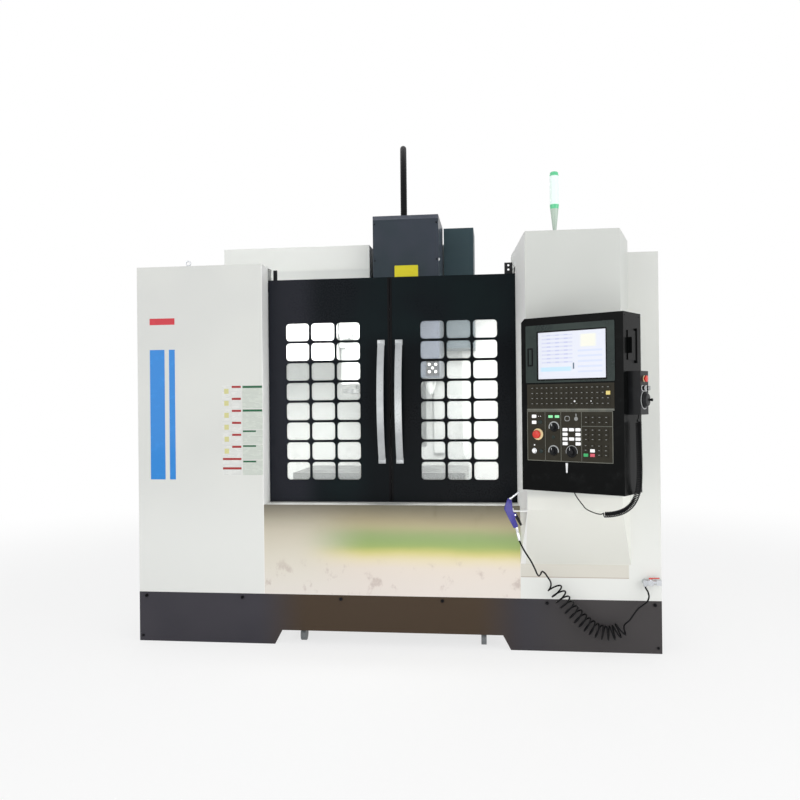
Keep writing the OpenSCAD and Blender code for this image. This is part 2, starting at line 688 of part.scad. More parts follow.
module cable_conduit() color("#17171a") placed() {
    across = conduit_back - conduit_front;
    bow = norm(across) / 2;
    spring_z = cover_top + 110;
    rod_z(conduit_front[0], conduit_front[1], [cover_top, cover_top + 30], conduit_d * 0.75);
    rod_z(conduit_front[0], conduit_front[1], [cover_top + 29, spring_z], conduit_d / 2);
    rod_z(conduit_back[0], conduit_back[1], [2200, spring_z], conduit_d / 2);
    middle = (conduit_front + conduit_back) / 2;
    translate([middle[0], middle[1], spring_z]) rotate([90, 0, atan2(across[1], across[0])])
        rotate_extrude(angle = 180, $fn = 96) translate([bow, 0]) circle(d = conduit_d, $fn = 32);
}

module spindle() color("#c4c7c9") placed() translate([0, spindle_y, nose_z]) difference() {
    union() {
        translate([0, 0, 9]) cylinder(h = 360, r = spindle_r);
        cylinder(h = 9.5, r = 64);
        for (s = [-1, 1]) translate([-8, s * 34 - 9, -5]) cube([16, 18, 10]);
    }
    translate([0, 0, -0.01]) cylinder(h = 65.4, r1 = 22.225, r2 = 12.69);
    translate([0, 0, 60]) cylinder(h = 320, r = 9);
}

// Sliding doors
module window_field(x, pane) for (c = [0 : window_cols - 1], r = [0 : window_rows - 1])
    translate([x + (c - (window_cols - 1) / 2) * window_pitch_x,
        field_z + (r - (window_rows - 1) / 2) * window_pitch_z]) rounded(window_w, window_h, window_r);
module rounded(w, h, r) union() {
    square([w - 2 * r, h], center = true);
    square([w, h - 2 * r], center = true);
    for (sx = [-1, 1], sy = [-1, 1]) translate([sx * (w / 2 - r), sy * (h / 2 - r)]) circle(r = r, $fn = 32);
}
module door(x, field) difference() {
    span(x, [door_y, door_y + door_t], [door_z, door_top]);
    span([x[0] + 30, x[1] - 30], [door_y + door_skin, door_y + door_t + 1], [door_z + 30, door_top - 30]);
    along_y([door_y - 1, door_y + door_skin + 1]) window_field(field);
}
module panes(field) span([field - field_w / 2 - 12, field + field_w / 2 + 12],
    [door_y + door_skin, door_y + door_skin + 6], [field_z - field_h / 2 - 12, field_z + field_h / 2 + 12]);
module handle(x) {
    bow_r = (pow(handle_l / 2, 2) + pow(handle_bow, 2)) / (2 * handle_bow);
    handle_z = 1328.5;
    intersection() {
        translate([0, door_y - handle_bow + bow_r, handle_z]) rotate([0, 90, 0]) difference() {
            translate([0, 0, x - handle_w / 2]) cylinder(h = handle_w, r = bow_r, $fn = 96);
            translate([0, 0, x - handle_w]) cylinder(h = 2 * handle_w, r = bow_r - handle_t, $fn = 96);
        }
        span([x - 100, x + 100], [door_y - handle_bow - 1, door_y], [handle_z - handle_l, handle_z + handle_l]);
    }
}

module left_door() color("#1e202a") placed() door([-opening_half, split_x - 1], split_x - field_x);
module left_panes() color("#f4f6f6") placed() panes(split_x - field_x);
module left_handle() color("#e6e6e8") placed() handle(split_x - handle_x);
module right_door() color("#1e202a") placed() door([split_x + 1, opening_half - 5], split_x + field_x);
module right_panes() color("#f4f6f6") placed() panes(split_x + field_x);
module right_handle() color("#e6e6e8") placed() handle(split_x + handle_x);

// Pendant, in its own frame: X along the face, Y into the casing, Z up
module pendant_casing() color("#16181a") on_pendant() {
    difference() {
        union() {
            along_y([0, pendant_d]) polygon([[0, 0], [pendant_w, 0], [pendant_w, pendant_h],
                [18, pendant_h], [0, pendant_h - 18]]);
            bezel_frame([26, 466], [499, 764], [84, 430], [508, 735], 3);
            for (z = [251 + 4.7, 471 + gap]) {
                rod_z(ear_at[0], ear_at[1], [z, z + 55], 34);
                span([ear_at[0] - 34, ear_at[0] + 34], [pendant_d - 1, ear_at[1]], [z, z + 55]);
            }
        }
        for (z = [251, 471]) rod_z(ear_at[0], ear_at[1], [z, z + 60], pin_r + fit);
        rod_y(estop_at[0], [-1, 30], estop_at[1], 8 + fit);
        for (p = [feed_at, rapid_at, mode_at]) rod_y(p[0], [-1, 16], p[1], 4 + fit);
        rod_y(power_at[0], [-1, 22], power_at[1], 6 + fit);
        span([pendant_w - 70, pendant_w + 1], [hatch_y[0] + 8, hatch_y[1] - 8], [hatch_z[0] + 8, hatch_z[1] - 8]);
    }
    for (z = [[hatch_z[0] - 12, hatch_z[0] - gap], [hatch_z[1] + gap, hatch_z[1] + 12]]) {
        rod_z(hatch_pin[0], hatch_pin[1], z, 4);
        span([pendant_w - 1, hatch_pin[0]], [hatch_pin[1] - 3, hatch_pin[1] + 3], z);
    }
    rod_z(hatch_pin[0], hatch_pin[1], [hatch_z[0] - 1, hatch_z[1] + 1], 1.5);
}
module bezel_frame(x, z, hole_x, hole_z, t) difference() {
    span(x, [-t, 1], z);
    span(hole_x, [-t - 1, 0], hole_z);
}

module display() color("#e8eefa") on_pendant() span([91, 424], [-1.5, 0], [515, 729]);

module control_keys() color("#3a3c3e") on_pendant() {
    difference() {
        union() {
            span([30, 462], [-1.5, 0], [380, 492]);
            span([29, 455], [-1.5, 0], [138, 368]);
            for (c = [0 : 15], r = [0 : 3]) span([50 + c * 25, 68 + c * 25], [-4, -1], [392 + r * 24, 408 + r * 24]);
            for (c = [0 : 3], r = [0 : 1]) key(329 + c * 32, 338 - r * 22, 20, 13);
            for (c = [0 : 3], r = [0 : 2]) key(328 + c * 32, 282 - r * 21, 20, 13);
            for (c = [0 : 3], r = [0 : 2]) key(326 + c * 32, 212 - r * 20, 20, 13);
            for (c = [0 : 2], r = [0 : 3]) if (c != 1 || r == 0 || r == 2) key(225 + c * 32, 284 - r * 21, 24, 14);
            for (z = [344, 316]) key(67, z, 22, 15);
            for (x = [124, 204, 306]) span([x - 1, x + 1], [-3, -1], [140, 366]);
        }
        rod_y(estop_at[0], [-9, 1], estop_at[1], 22);
        for (p = [feed_at, rapid_at]) rod_y(p[0], [-9, 1], p[1], 21);
        rod_y(mode_at[0], [-9, 1], mode_at[1], 26);
        rod_y(power_at[0], [-9, 1], power_at[1], 12);
    }
}
module key(x, z, w, h) span([x - w / 2, x + w / 2], [-5, -1], [z - h / 2, z + h / 2]);

module push_button(at, r, stem_r, depth, cap) translate([at[0], 0, at[1]]) rotate([90, 0, 0]) {
    translate([0, 0, -depth]) cylinder(h = depth + cap[0] + 1, r = stem_r);
    translate([0, 0, cap[0]]) cylinder(h = cap[1] - cap[0], r = r);
}
module knob(at, r) translate([at[0], 0, at[1]]) rotate([90, 0, 0]) {
    translate([0, 0, -12]) cylinder(h = 14, r = 4);
    translate([0, 0, gap]) cylinder(h = 6, r = r);
    translate([0, 0, 5]) cylinder(h = 16, r = r * 0.62);
    translate([-2, 0, 5]) cube([4, r * 0.9, 17]);
}

module estop_button() color("#d8301c") on_pendant() push_button(estop_at, 20, 8, 14, [14, 26]);
module power_button() color("#f0f0f0") on_pendant() push_button(power_at, 9, 6, 12, [5, 9]);
module mode_knob() color("#202224") on_pendant() knob(mode_at, 24);
module feed_knob() color("#202224") on_pendant() knob(feed_at, 19);
module rapid_knob() color("#202224") on_pendant() knob(rapid_at, 19);

module pendant_hatch() color("#1b1d1f") on_pendant() difference() {
    union() {
        span([pendant_w + gap, pendant_w + 4], hatch_y, hatch_z);
        span([pendant_w + 3, pendant_w + 17], [hatch_y[0] + 12, hatch_y[0] + 26], [620, 690]);
        rod_z(hatch_pin[0], hatch_pin[1], hatch_z, 4);
    }
    rod_z(hatch_pin[0], hatch_pin[1], [hatch_z[0] - 1, hatch_z[1] + 1], 1.5 + fit);
}

module mpg_body() color("#17181c") on_pendant() difference() {
    union() {
        span([pendant_w, pendant_w + 55], [48, 133], [351, 541]);
        for (y = [70, 111]) rod_x([pendant_w + 54, pendant_w + 68], y, 466, 10);
    }
    rod_x([pendant_w + 38, pendant_w + 56], mpg_y, 415, 5 + fit);
    rod_x([pendant_w + 33, pendant_w + 56], mpg_y, 507, 6 + fit);
}
module mpg_wheel() color("#101014") on_pendant() {
    rod_x([pendant_w + 40, pendant_w + 57], mpg_y, 415, 5);
    rod_x([pendant_w + 55 + gap, pendant_w + 73], mpg_y, 415, 35);
    rod_x([pendant_w + 72, pendant_w + 84], mpg_y + 24, 415, 7);
}
module mpg_estop() color("#d8301c") on_pendant() {
    rod_x([pendant_w + 40, pendant_w + 62], mpg_y, 507, 6);
    rod_x([pendant_w + 61, pendant_w + 74], mpg_y, 507, 15);
}
module mpg_cord() color("#141416") on_pendant() {
    tube(curl_route, curl_d, 12);
    tube(lead_route, lead_d, 8);
}

// Air gun, its hose and the supply valve
module air_gun() color("#3c37b4") placed() {
    along_y([-314, -286]) polygon([[633, 846], [612, 792], [660, 694], [684, 704], [655.7, 770],
        [655.7, 790], [652, 834]]);
    for (y = [[-314, -307], [-293, -286]]) span([652, 673], y, [754, 771]);
    rod_y(trigger_pin[0], [-308, -292], trigger_pin[1], 2.5);
    translate([641, -300, 838]) rotate([0, 52, 0]) cylinder(h = 62, r = 4.5);
    translate([687, -300, 634.3]) rotate([0, -12, 0]) cylinder(h = 68, r = 8);
}
module gun_trigger() color("#2c2f36") placed() difference() {
    along_y([-306.5, -293.5]) polygon([
        [663, 758], [691, 708], [701, 712], [688, 746], [674, 768], [664, 768]]);
    rod_y(trigger_pin[0], [-307, -293], trigger_pin[1], 2.5 + fit);
}

module hose_ends() color("#141416") placed() {
    tube(hose_upper_route, hose_d, 10);
    tube(hose_lower_route, hose_d, 10);
}
module hose_coil() color("#141416") placed() tube(coil_route, coil_d, 12);

module air_valve() color("#b9bcc0") placed() {
    rod_y(valve_x, [-42, 0], 378, 13);
    rod_z(valve_x, -30, [358.3, 379], 9);
    rod_x([valve_x, elbow_x], -30, 378, 10);
    span([lever_x - 15, lever_x + 13], [-44, -16], [364, 390]);
    rod_z(lever_x, -30, [389, 395], 7);
    rod_y(elbow_x, [-30, 0], 378, 7);
    span([elbow_x - 13, elbow_x + 13], [-43, -17], [365, 391]);
}
module valve_lever() color("#c8281e") placed() {
    rod_z(lever_x, -30, [395 + gap, 402], 9);
    span([lever_x, lever_x + 45], [-36, -24], [398, 402]);
}

base_skirt();
bed();
levelling_feet();
coolant_tank();
column();
axis_motors();
left_front_panel();
right_front_panel();
rear_enclosure();
trough_panel();
splash_walls();
door_rails();
control_tower();
signal_lamp();
pendant_bracket();
magazine_housing();
changer_gearbox();
cabinet_shell();
service_box();
air_valve();
saddle();
table();
front_way_cover();
rear_way_cover();
screw_x();
screw_y();
screw_z();
head_casting();
head_cover();
spindle_motor();
cable_conduit();
spindle();
magazine_disc();
changer_arm();
left_door();
left_panes();
left_handle();
right_door();
right_panes();
right_handle();
pendant_casing();
display();
control_keys();
estop_button();
mode_knob();
feed_knob();
rapid_knob();
power_button();
pendant_hatch();
mpg_body();
mpg_wheel();
mpg_estop();
mpg_cord();
air_gun();
gun_trigger();
hose_ends();
hose_coil();
valve_lever();
cabinet_door();
main_switch();
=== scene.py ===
import json
import logging
import math
from dataclasses import dataclass
from enum import Enum
from typing import ClassVar, Iterable, Optional, Sequence, Union

import bmesh
import bpy
from mathutils import Matrix, Vector


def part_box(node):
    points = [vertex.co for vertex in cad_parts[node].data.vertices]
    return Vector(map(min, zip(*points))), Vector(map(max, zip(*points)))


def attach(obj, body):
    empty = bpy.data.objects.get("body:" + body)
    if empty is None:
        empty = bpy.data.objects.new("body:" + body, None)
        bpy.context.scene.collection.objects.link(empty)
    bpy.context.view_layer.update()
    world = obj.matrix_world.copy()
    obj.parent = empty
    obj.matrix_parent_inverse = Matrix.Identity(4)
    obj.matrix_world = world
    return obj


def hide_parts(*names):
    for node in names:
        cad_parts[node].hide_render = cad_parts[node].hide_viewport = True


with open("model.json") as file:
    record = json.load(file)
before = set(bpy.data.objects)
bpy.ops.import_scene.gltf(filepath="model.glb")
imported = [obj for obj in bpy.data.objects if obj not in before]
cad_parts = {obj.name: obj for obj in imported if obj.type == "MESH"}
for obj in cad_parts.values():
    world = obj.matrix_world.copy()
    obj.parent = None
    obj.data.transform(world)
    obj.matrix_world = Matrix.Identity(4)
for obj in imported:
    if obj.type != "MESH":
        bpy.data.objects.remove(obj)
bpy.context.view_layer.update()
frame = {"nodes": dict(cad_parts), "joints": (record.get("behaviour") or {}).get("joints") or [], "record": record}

MM = 0.001
FULL_TURN = 2 * math.pi
SHARP_ANGLE = math.radians(36)
PENDANT_WIDTH = 505.0
OUTWARD = Matrix.Rotation(math.radians(90), 4, "X")
SIDEWARD = Matrix.Rotation(math.radians(90), 4, "Y")
log = logging.getLogger("machining_centre")

Point = Sequence[float]
Span = tuple[float, float]
Colour = tuple[float, float, float, float]
Stop = tuple[float, int, int, int]


# Colours and the node workshop

@dataclass(frozen=True)
class Tint:
    """A colour as a paint chart gives it, from 0 to 255."""

    red: int
    green: int
    blue: int

    def linear(self) -> Colour:
        """The colour as light, with full opacity.

        Returns:
            Red, green, blue and opacity, from 0 to 1.
        """
        parts = [part / 255 for part in (self.red, self.green, self.blue)]
        light = [p / 12.92 if p <= 0.04045 else ((p + 0.055) / 1.055) ** 2.4 for p in parts]
        return (light[0], light[1], light[2], 1.0)

    def paler(self, by: int) -> "Tint":
        """The same colour, lighter by that much."""
        return Tint(*(min(255, part + by) for part in (self.red, self.green, self.blue)))


class Wire:
    """An output socket on which sums can be written."""

    def __init__(self, bench: "Bench", socket: bpy.types.NodeSocket) -> None:
        """Keeps the socket and the tree that it belongs to."""
        self.bench = bench
        self.socket = socket

    def _sum(self, operation: str, first: "Value", second: "Value") -> "Wire":
        """Adds one Math node and gives its result."""
        made = self.bench.node("ShaderNodeMath", {"operation": operation}, {0: first, 1: second})
        return self.bench.wire(made)

    def __add__(self, other: "Value") -> "Wire":
        """self + other."""
        return self._sum("ADD", self, other)

    __radd__ = __add__

    def __mul__(self, other: "Value") -> "Wire":
        """self * other."""
        return self._sum("MULTIPLY", self, other)

    __rmul__ = __mul__

    def __sub__(self, other: "Value") -> "Wire":
        """self - other."""
        return self._sum("SUBTRACT", self, other)

    def __rsub__(self, other: "Value") -> "Wire":
        """other - self."""
        return self._sum("SUBTRACT", other, self)

    def __truediv__(self, other: "Value") -> "Wire":
        """self / other."""
        return self._sum("DIVIDE", self, other)

    def sine(self) -> "Wire":
        """The sine of the value."""
        return self._sum("SINE", self, 0.0)

    def wave(self, length: float) -> "Wire":
        """A sine of the value, from 0 to 1, that repeats over the given length."""
        return (self * (FULL_TURN / length)).sine() * 0.5 + 0.5

    def between(self, low: float, high: float) -> "Wire":
        """Rises smoothly from 0 at low to 1 at high."""
        return self.bench.wire(self.bench.node("ShaderNodeMapRange", {"interpolation_type": "SMOOTHSTEP"},
                                               {"Value": self, "From Min": low, "From Max": high}))

    def clamped(self, low: "Value", high: "Value") -> "Wire":
        """The value, kept between two limits."""
        made = self.bench.node("ShaderNodeClamp", sockets={"Value": self, "Min": low, "Max": high})
        return self.bench.wire(made)

    def band(self, low: float, high: float, soft: float) -> "Wire":
        """1 inside the band from low to high, and 0 outside it."""
        return self.between(low - soft, low + soft) * (1 - self.between(high - soft, high + soft))


Value = Union[Wire, float, int]


class Bench:
    """A node tree with one method that makes every node."""

    def __init__(self, tree: bpy.types.NodeTree) -> None:
        """Keeps the tree."""
        self.tree = tree

    def node(self, kind: str, settings: Optional[dict] = None,
             sockets: Optional[dict] = None) -> bpy.types.Node:
        """Makes a node.

        Args:
            kind: The node's type.
            settings: Its properties, set first. "stops" is a colour ramp's list of stops.
            sockets: What each input gets, by name or number.

        Returns:
            The node.
        """
        made = self.tree.nodes.new(kind)
        for key, value in (settings or {}).items():
            if key == "stops":
                self._stops(made.color_ramp, value)
            else:
                setattr(made, key, value)
        for key, value in (sockets or {}).items():
            self.plug(made.inputs[key], value)
        return made

    def plug(self, target: bpy.types.NodeSocket, value: object) -> None:
        """Links a node, a wire or a socket to an input, or sets the input to a tint or a value.

        Args:
            target: The input.
            value: What it gets.
        """
        if isinstance(value, bpy.types.Node):
            value = value.outputs[0]
        elif isinstance(value, Wire):
            value = value.socket
        if isinstance(value, bpy.types.NodeSocket):
            self.tree.links.new(value, target)
        else:
            target.default_value = value.linear() if isinstance(value, Tint) else value

    def wire(self, made: bpy.types.Node, output: Union[int, str] = 0) -> Wire:
        """One output of a node, ready for sums."""
        return Wire(self, made.outputs[output])

    def seen(self) -> Wire:
        """1 for the rays that show the background: from the camera, and through mirrors and glass."""
        path = self.node("ShaderNodeLightPath")
        return sum(self.wire(path, f"Is {kind} Ray") for kind in ("Camera", "Glossy", "Transmission"))

    @staticmethod
    def _stops(ramp: bpy.types.ColorRamp, stops: Sequence[Stop]) -> None:
        """Fills a colour ramp from its list of places with their red, green and blue.

        Args:
            ramp: The ramp.
            stops: Its places with their colours.
        """
        ramp.interpolation = "B_SPLINE"
        while len(ramp.elements) < len(stops):
            ramp.elements.new(1.0)
        for element, (place, *tint) in zip(ramp.elements, stops):
            element.position = place
            element.color = Tint(*tint).linear()


class Shade(Bench):
    """One material on Object coordinates, round a Principled shader."""

    def __init__(self, name: str) -> None:
        """Starts an empty material of that name.

        Args:
            name: The material's name.
        """
        self.material = bpy.data.materials.new(name)
        self.material.use_nodes = True
        super().__init__(self.material.node_tree)
        self.tree.nodes.clear()
        self.surface = self.node("ShaderNodeBsdfPrincipled")
        self.output = self.node("ShaderNodeOutputMaterial", sockets={"Surface": self.surface})
        self.place = self.node("ShaderNodeTexCoord").outputs["Object"]
        split = self.node("ShaderNodeSeparateXYZ", sockets={0: self.place})
        self.x, self.y, self.z = (self.wire(split, axis) for axis in range(3))

    def noise(self, size_mm: float, detail: float = 3.0, stretch: Point = (1, 1, 1),
              rough: float = 0.55) -> Wire:
        """Noise from about 0 to 1, with grains of that size stretched along the axes by the factors.

        Args:
            size_mm: The size of a grain.
            detail: How many finer layers lie over it.
            stretch: How many times longer a grain is along each axis.
            rough: How strong the finer layers are.

        Returns:
            The noise.
        """
        moved = self.node("ShaderNodeMapping", sockets={
            "Vector": self.place, "Scale": tuple(1 / part for part in stretch)})
        return self.wire(self.node("ShaderNodeTexNoise", sockets={
            "Vector": moved, "Scale": 1 / (size_mm * MM), "Detail": detail, "Roughness": rough}))

    def mix(self, share: Value, first: Union[Tint, Wire], second: Union[Tint, Wire]) -> Wire:
        """The first colour where share is 0 and the second where it is 1."""
        made = self.node("ShaderNodeMix", {"data_type": "RGBA"}, {0: share, 6: first, 7: second})
        return self.wire(made, 2)

    def ramp(self, share: Wire, stops: Sequence[Stop]) -> Wire:
        """A colour from a list of places and colours."""
        return self.wire(self.node("ShaderNodeValToRGB", {"stops": stops}, {0: share}))

    def relief(self, height: Wire, depth_mm: float) -> None:
        """Gives the surface a relief of that depth."""
        self.plug(self.surface.inputs["Normal"], self.node("ShaderNodeBump", sockets={
            "Distance": depth_mm * MM, "Height": height}))

    def dress(self, **sockets: Union[Wire, float, Tint]) -> None:
        """Sets the shader's sockets by name, with _ for a space."""
        for key, value in sockets.items():
            self.plug(self.surface.inputs[key.replace("_", " ")], value)


# Finishes

@dataclass(frozen=True)
class Finish:
    """A named finish of the machine."""

    name: str

    def build(self) -> bpy.types.Material:
        """Makes the material.

        Returns:
            The material.
        """
        shade = Shade(self.name)
        self.coat(shade)
        return shade.material

    def coat(self, shade: Shade) -> None:
        """Dresses the material, each finish in its own way."""
        raise NotImplementedError


@dataclass(frozen=True)
class Zone:
    """A stretch of a painted piece that takes another tone, in metres along the axes that it names: the piece's
    own colour in some zones, painted light and shade in others.
    """

    tone: Tint
    x: Optional[Span] = None
    y: Optional[Span] = None
    z: Optional[Span] = None
    soft: float = 0.001
    share: float = 1.0

    def cover(self, shade: Shade) -> Wire:
        """How much of this tone shows at each place.

        Args:
            shade: The material in the making.

        Returns:
            The share, from 0 to 1.
        """
        sides = ((shade.x, self.x), (shade.y, self.y), (shade.z, self.z))
        bands = [place.band(*limits, self.soft) for place, limits in sides if limits]
        return math.prod(bands[1:], start=bands[0]) * self.share


@dataclass(frozen=True)
class Paint(Finish):
    """A sprayed or baked coat: two close tones in soft patches over a fine orange peel."""

    tone: Tint
    patch: Tint
    rough: float = 0.42
    patch_mm: float = 420.0
    peel_mm: float = 1.6
    peel_depth_mm: float = 0.05
    gloss: float = 0.0
    streaks: float = 0.0
    shine: float = 0.5
    zones: tuple[Zone, ...] = ()

    def coat(self, shade: Shade) -> None:
        """Patches, streaks and zones of tone over the peel, some zones painted light and shade.

        Args:
            shade: The material in the making.
        """
        patches = shade.noise(self.patch_mm, 2.0).between(0.35, 0.65)
        if self.streaks:
            patches = patches * (1 - self.streaks) + shade.noise(30, 2.0, (1, 1, 18)) * self.streaks
        worn = self.rough + (shade.noise(9.0, 2.0) - 0.5) * 0.12 + (patches - 0.5) * 0.08
        shade.relief(shade.noise(self.peel_mm, 1.0), self.peel_depth_mm)
        tone = shade.mix(patches, self.tone, self.patch)
        for zone in self.zones:
            tone = shade.mix(zone.cover(shade), tone, zone.tone)
        shade.dress(Base_Color=tone, Roughness=worn, Coat_Weight=self.gloss, Coat_Roughness=0.12,
                    Specular_IOR_Level=self.shine)


@dataclass(frozen=True)
class Casting(Finish):
    """Painted cast iron with the sand's coarse skin under the paint."""

    tone: Tint
    patch: Tint

    def coat(self, shade: Shade) -> None:
        """Oily patches over the sand's skin.

        Args:
            shade: The material in the making.
        """
        oil = shade.noise(160, 3.0).between(0.45, 0.7)
        shade.relief(shade.noise(5.0, 4.0), 0.35)
        shade.dress(Base_Color=shade.mix(oil, self.tone, self.patch), Roughness=0.62 - 0.18 * oil)


@dataclass(frozen=True)
class Metal(Finish):
    """Bare metal with the fine lines that its machining left."""

    tone: Tint
    patch: Tint
    rough: float = 0.3
    lines: Point = (1.0, 1.0, 30.0)
    metallic: float = 1.0

    def coat(self, shade: Shade) -> None:
        """Fine lines under a faint haze.

        Args:
            shade: The material in the making.
        """
        lines = shade.noise(1.2, 2.0, self.lines)
        haze = shade.noise(120, 3.0).between(0.4, 0.7)
        shade.relief(lines, 0.02)
        shade.dress(Base_Color=shade.mix(haze, self.tone, self.patch), Metallic=self.metallic,
                    Roughness=self.rough + 0.22 * (lines - 0.5) + 0.08 * haze)


@dataclass(frozen=True)
class Moulding(Finish):
    """Moulded plastic or rubber with a fine grain."""

    tone: Tint
    rough: float = 0.35
    gloss: float = 0.0
    grain_mm: float = 0.7
    shine: float = 0.3

    def coat(self, shade: Shade) -> None:
        """A fine grain, a little paler where it is rubbed.

        Args:
            shade: The material in the making.
        """
        rubbed = shade.noise(45, 3.0)
        shade.relief(shade.noise(self.grain_mm, 1.0), 0.03)
        shade.dress(Base_Color=shade.mix(rubbed.between(0.5, 0.8), self.tone, self.tone.paler(9)),
                    Roughness=self.rough + 0.15 * (rubbed - 0.5), Coat_Weight=self.gloss,
                    Coat_Roughness=0.06, Specular_IOR_Level=self.shine)


@dataclass(frozen=True)
class StainedSheet(Finish):
    """Stainless sheet with a green and yellow tide mark, a darker grey band at the top and hand smudges."""

    foot: float = 0.275
    head: float = 0.767
    clean_from: float = -0.56
    stained_from: float = -0.10

    STAINED = ((0.0, 230, 222, 214), (0.3, 226, 215, 206), (0.41, 229, 217, 184), (0.48, 210, 200, 118),
               (0.55, 138, 168, 98), (0.68, 148, 164, 112), (0.77, 178, 166, 130), (0.88, 140, 131, 106),
               (1.0, 88, 84, 68))
    CLEAN = ((0.0, 232, 226, 219), (0.4, 222, 216, 200), (0.7, 202, 194, 175), (0.86, 158, 151, 133),
             (1.0, 96, 92, 80))

    def coat(self, shade: Shade) -> None:
        """Two ramps up the sheet, the clean one at the left, with smudges low down.

        Args:
            shade: The material in the making.
        """
        wander = (shade.noise(260, 4.0, (3, 1, 1)) - 0.5) * 0.06
        height = (shade.z + wander - self.foot) / (self.head - self.foot)
        across = (shade.x + wander * 3).between(self.clean_from, self.stained_from)
        sheet = shade.mix(across, shade.ramp(height, self.CLEAN), shade.ramp(height, self.STAINED))
        smudge = shade.noise(75, 4.0, (1, 1, 1.3), 0.6).between(0.56, 0.72)
        low = 1 - shade.z.between(0.40, 0.50)
        lined = shade.noise(1.3, 2.0, (40, 1, 1))
        shade.relief(lined, 0.02)
        shade.dress(Base_Color=shade.mix(smudge * low * 0.5, sheet, Tint(176, 158, 150)), Metallic=0.25,
                    Roughness=0.36 + 0.2 * (lined - 0.5) + 0.2 * smudge)


@dataclass(frozen=True)
class Pane(Finish):
    """A clear safety pane with a faint haze of splashes."""

    clearness: float = 0.84

    def coat(self, shade: Shade) -> None:
        """Clear, and a little duller under the haze.

        Args:
            shade: The material in the making.
        """
        haze = shade.noise(60, 5.0).between(0.5, 0.8)
        shade.dress(Base_Color=Tint(246, 250, 250), Roughness=0.06 + 0.12 * haze,
                    Alpha=1 - self.clearness + 0.06 * haze)


@dataclass(frozen=True)
class Glow(Finish):
    """A lit or glowing plastic of one colour."""

    tone: Tint
    power: float = 0.8

    def coat(self, shade: Shade) -> None:
        """The same light colour for the plastic and its glow.

        Args:
            shade: The material in the making.
        """
        grain = shade.noise(4.0, 2.0)
        shade.relief(grain, 0.02)
        light = shade.mix(grain * 0.15, self.tone, Tint(255, 255, 255))
        shade.dress(Base_Color=light, Emission_Color=light, Emission_Strength=self.power,
                    Roughness=0.3 + 0.1 * grain)


@dataclass(frozen=True)
class LampTube(Finish):
    """The signal lamp: a clear cone, a green ring, a lit white tube and a green cap."""

    foot: float

    def coat(self, shade: Shade) -> None:
        """Rings by height over a fluted tube.

        Args:
            shade: The material in the making.
        """
        height = shade.z - self.foot
        rings = height.band(0.141, 0.163, 0.003) + height.band(0.308, 0.340, 0.003)
        tube = shade.mix(height.between(0.146, 0.152), Tint(174, 192, 178), Tint(230, 246, 240))
        tone = shade.mix(rings, tube, Tint(84, 196, 140))
        flutes = shade.noise(6.0, 2.0, (1, 1, 12))
        shade.relief(flutes, 0.2)
        shade.dress(Base_Color=tone, Emission_Color=tone, Emission_Strength=0.2,
                    Roughness=0.16 + 0.1 * flutes, Coat_Weight=0.6, Coat_Roughness=0.05)


@dataclass(frozen=True)
class Screen(Finish):
    """The lit screen, with plain pale fields in rows and no words."""

    corner: Point
    along: Point
    width: float
    height: float

    def coat(self, shade: Shade) -> None:
        """Fields by their place across and up the screen, each over the ones before.

        Args:
            shade: The material in the making.
        """
        across = (shade.x - self.corner[0]) * self.along[0] + (shade.y - self.corner[1]) * self.along[1]
        u = across / self.width
        v = (shade.z - self.corner[2]) / self.height
        rows = v.wave(0.083).between(0.62, 0.78) * v.band(0.30, 0.94, 0.01) * u.band(0.06, 0.52, 0.01)
        columns = u.wave(0.13).between(0.5, 0.7)
        cells = v.wave(0.11).between(0.6, 0.8) * u.band(0.60, 0.95, 0.01) * v.band(0.12, 0.62, 0.01)
        strip = v.band(0.16, 0.25, 0.01) * u.band(0.04, 0.50, 0.02)
        patch = v.band(0.66, 0.92, 0.02) * u.band(0.64, 0.86, 0.02)
        cursor = v.band(0.20, 0.33, 0.008) * u.band(0.525, 0.545, 0.004)
        tone = shade.mix(rows * (0.4 + 0.4 * columns), Tint(220, 223, 234), Tint(184, 188, 222))
        for share, field in ((cells * 0.5, Tint(196, 208, 236)), (strip * 0.7, Tint(176, 220, 242)),
                             (patch * 0.7, Tint(240, 238, 214)), (cursor, Tint(70, 92, 112))):
            tone = shade.mix(share, tone, field)
        shade.dress(Base_Color=tone, Emission_Color=tone, Emission_Strength=0.17,
                    Roughness=0.2 + 0.02 * rows, Coat_Weight=0.1, Coat_Roughness=0.04)


@dataclass(frozen=True)
class Placard(Finish):
    """A printed plate whose text is only faint grey lines."""

    tone: Tint

    def coat(self, shade: Shade) -> None:
        """Broken lines, 7 mm apart.

        Args:
            shade: The material in the making.
        """
        lines = shade.z.wave(7 * MM).between(0.7, 0.85)
        breaks = shade.noise(14, 2.0, (2.5, 1, 1)).between(0.4, 0.5)
        grain = shade.noise(1.0, 1.0)
        shade.relief(grain, 0.01)
        shade.dress(Base_Color=shade.mix(lines * breaks * 0.3, self.tone, Tint(120, 128, 124)),
                    Roughness=0.42 + 0.06 * (grain - 0.5))
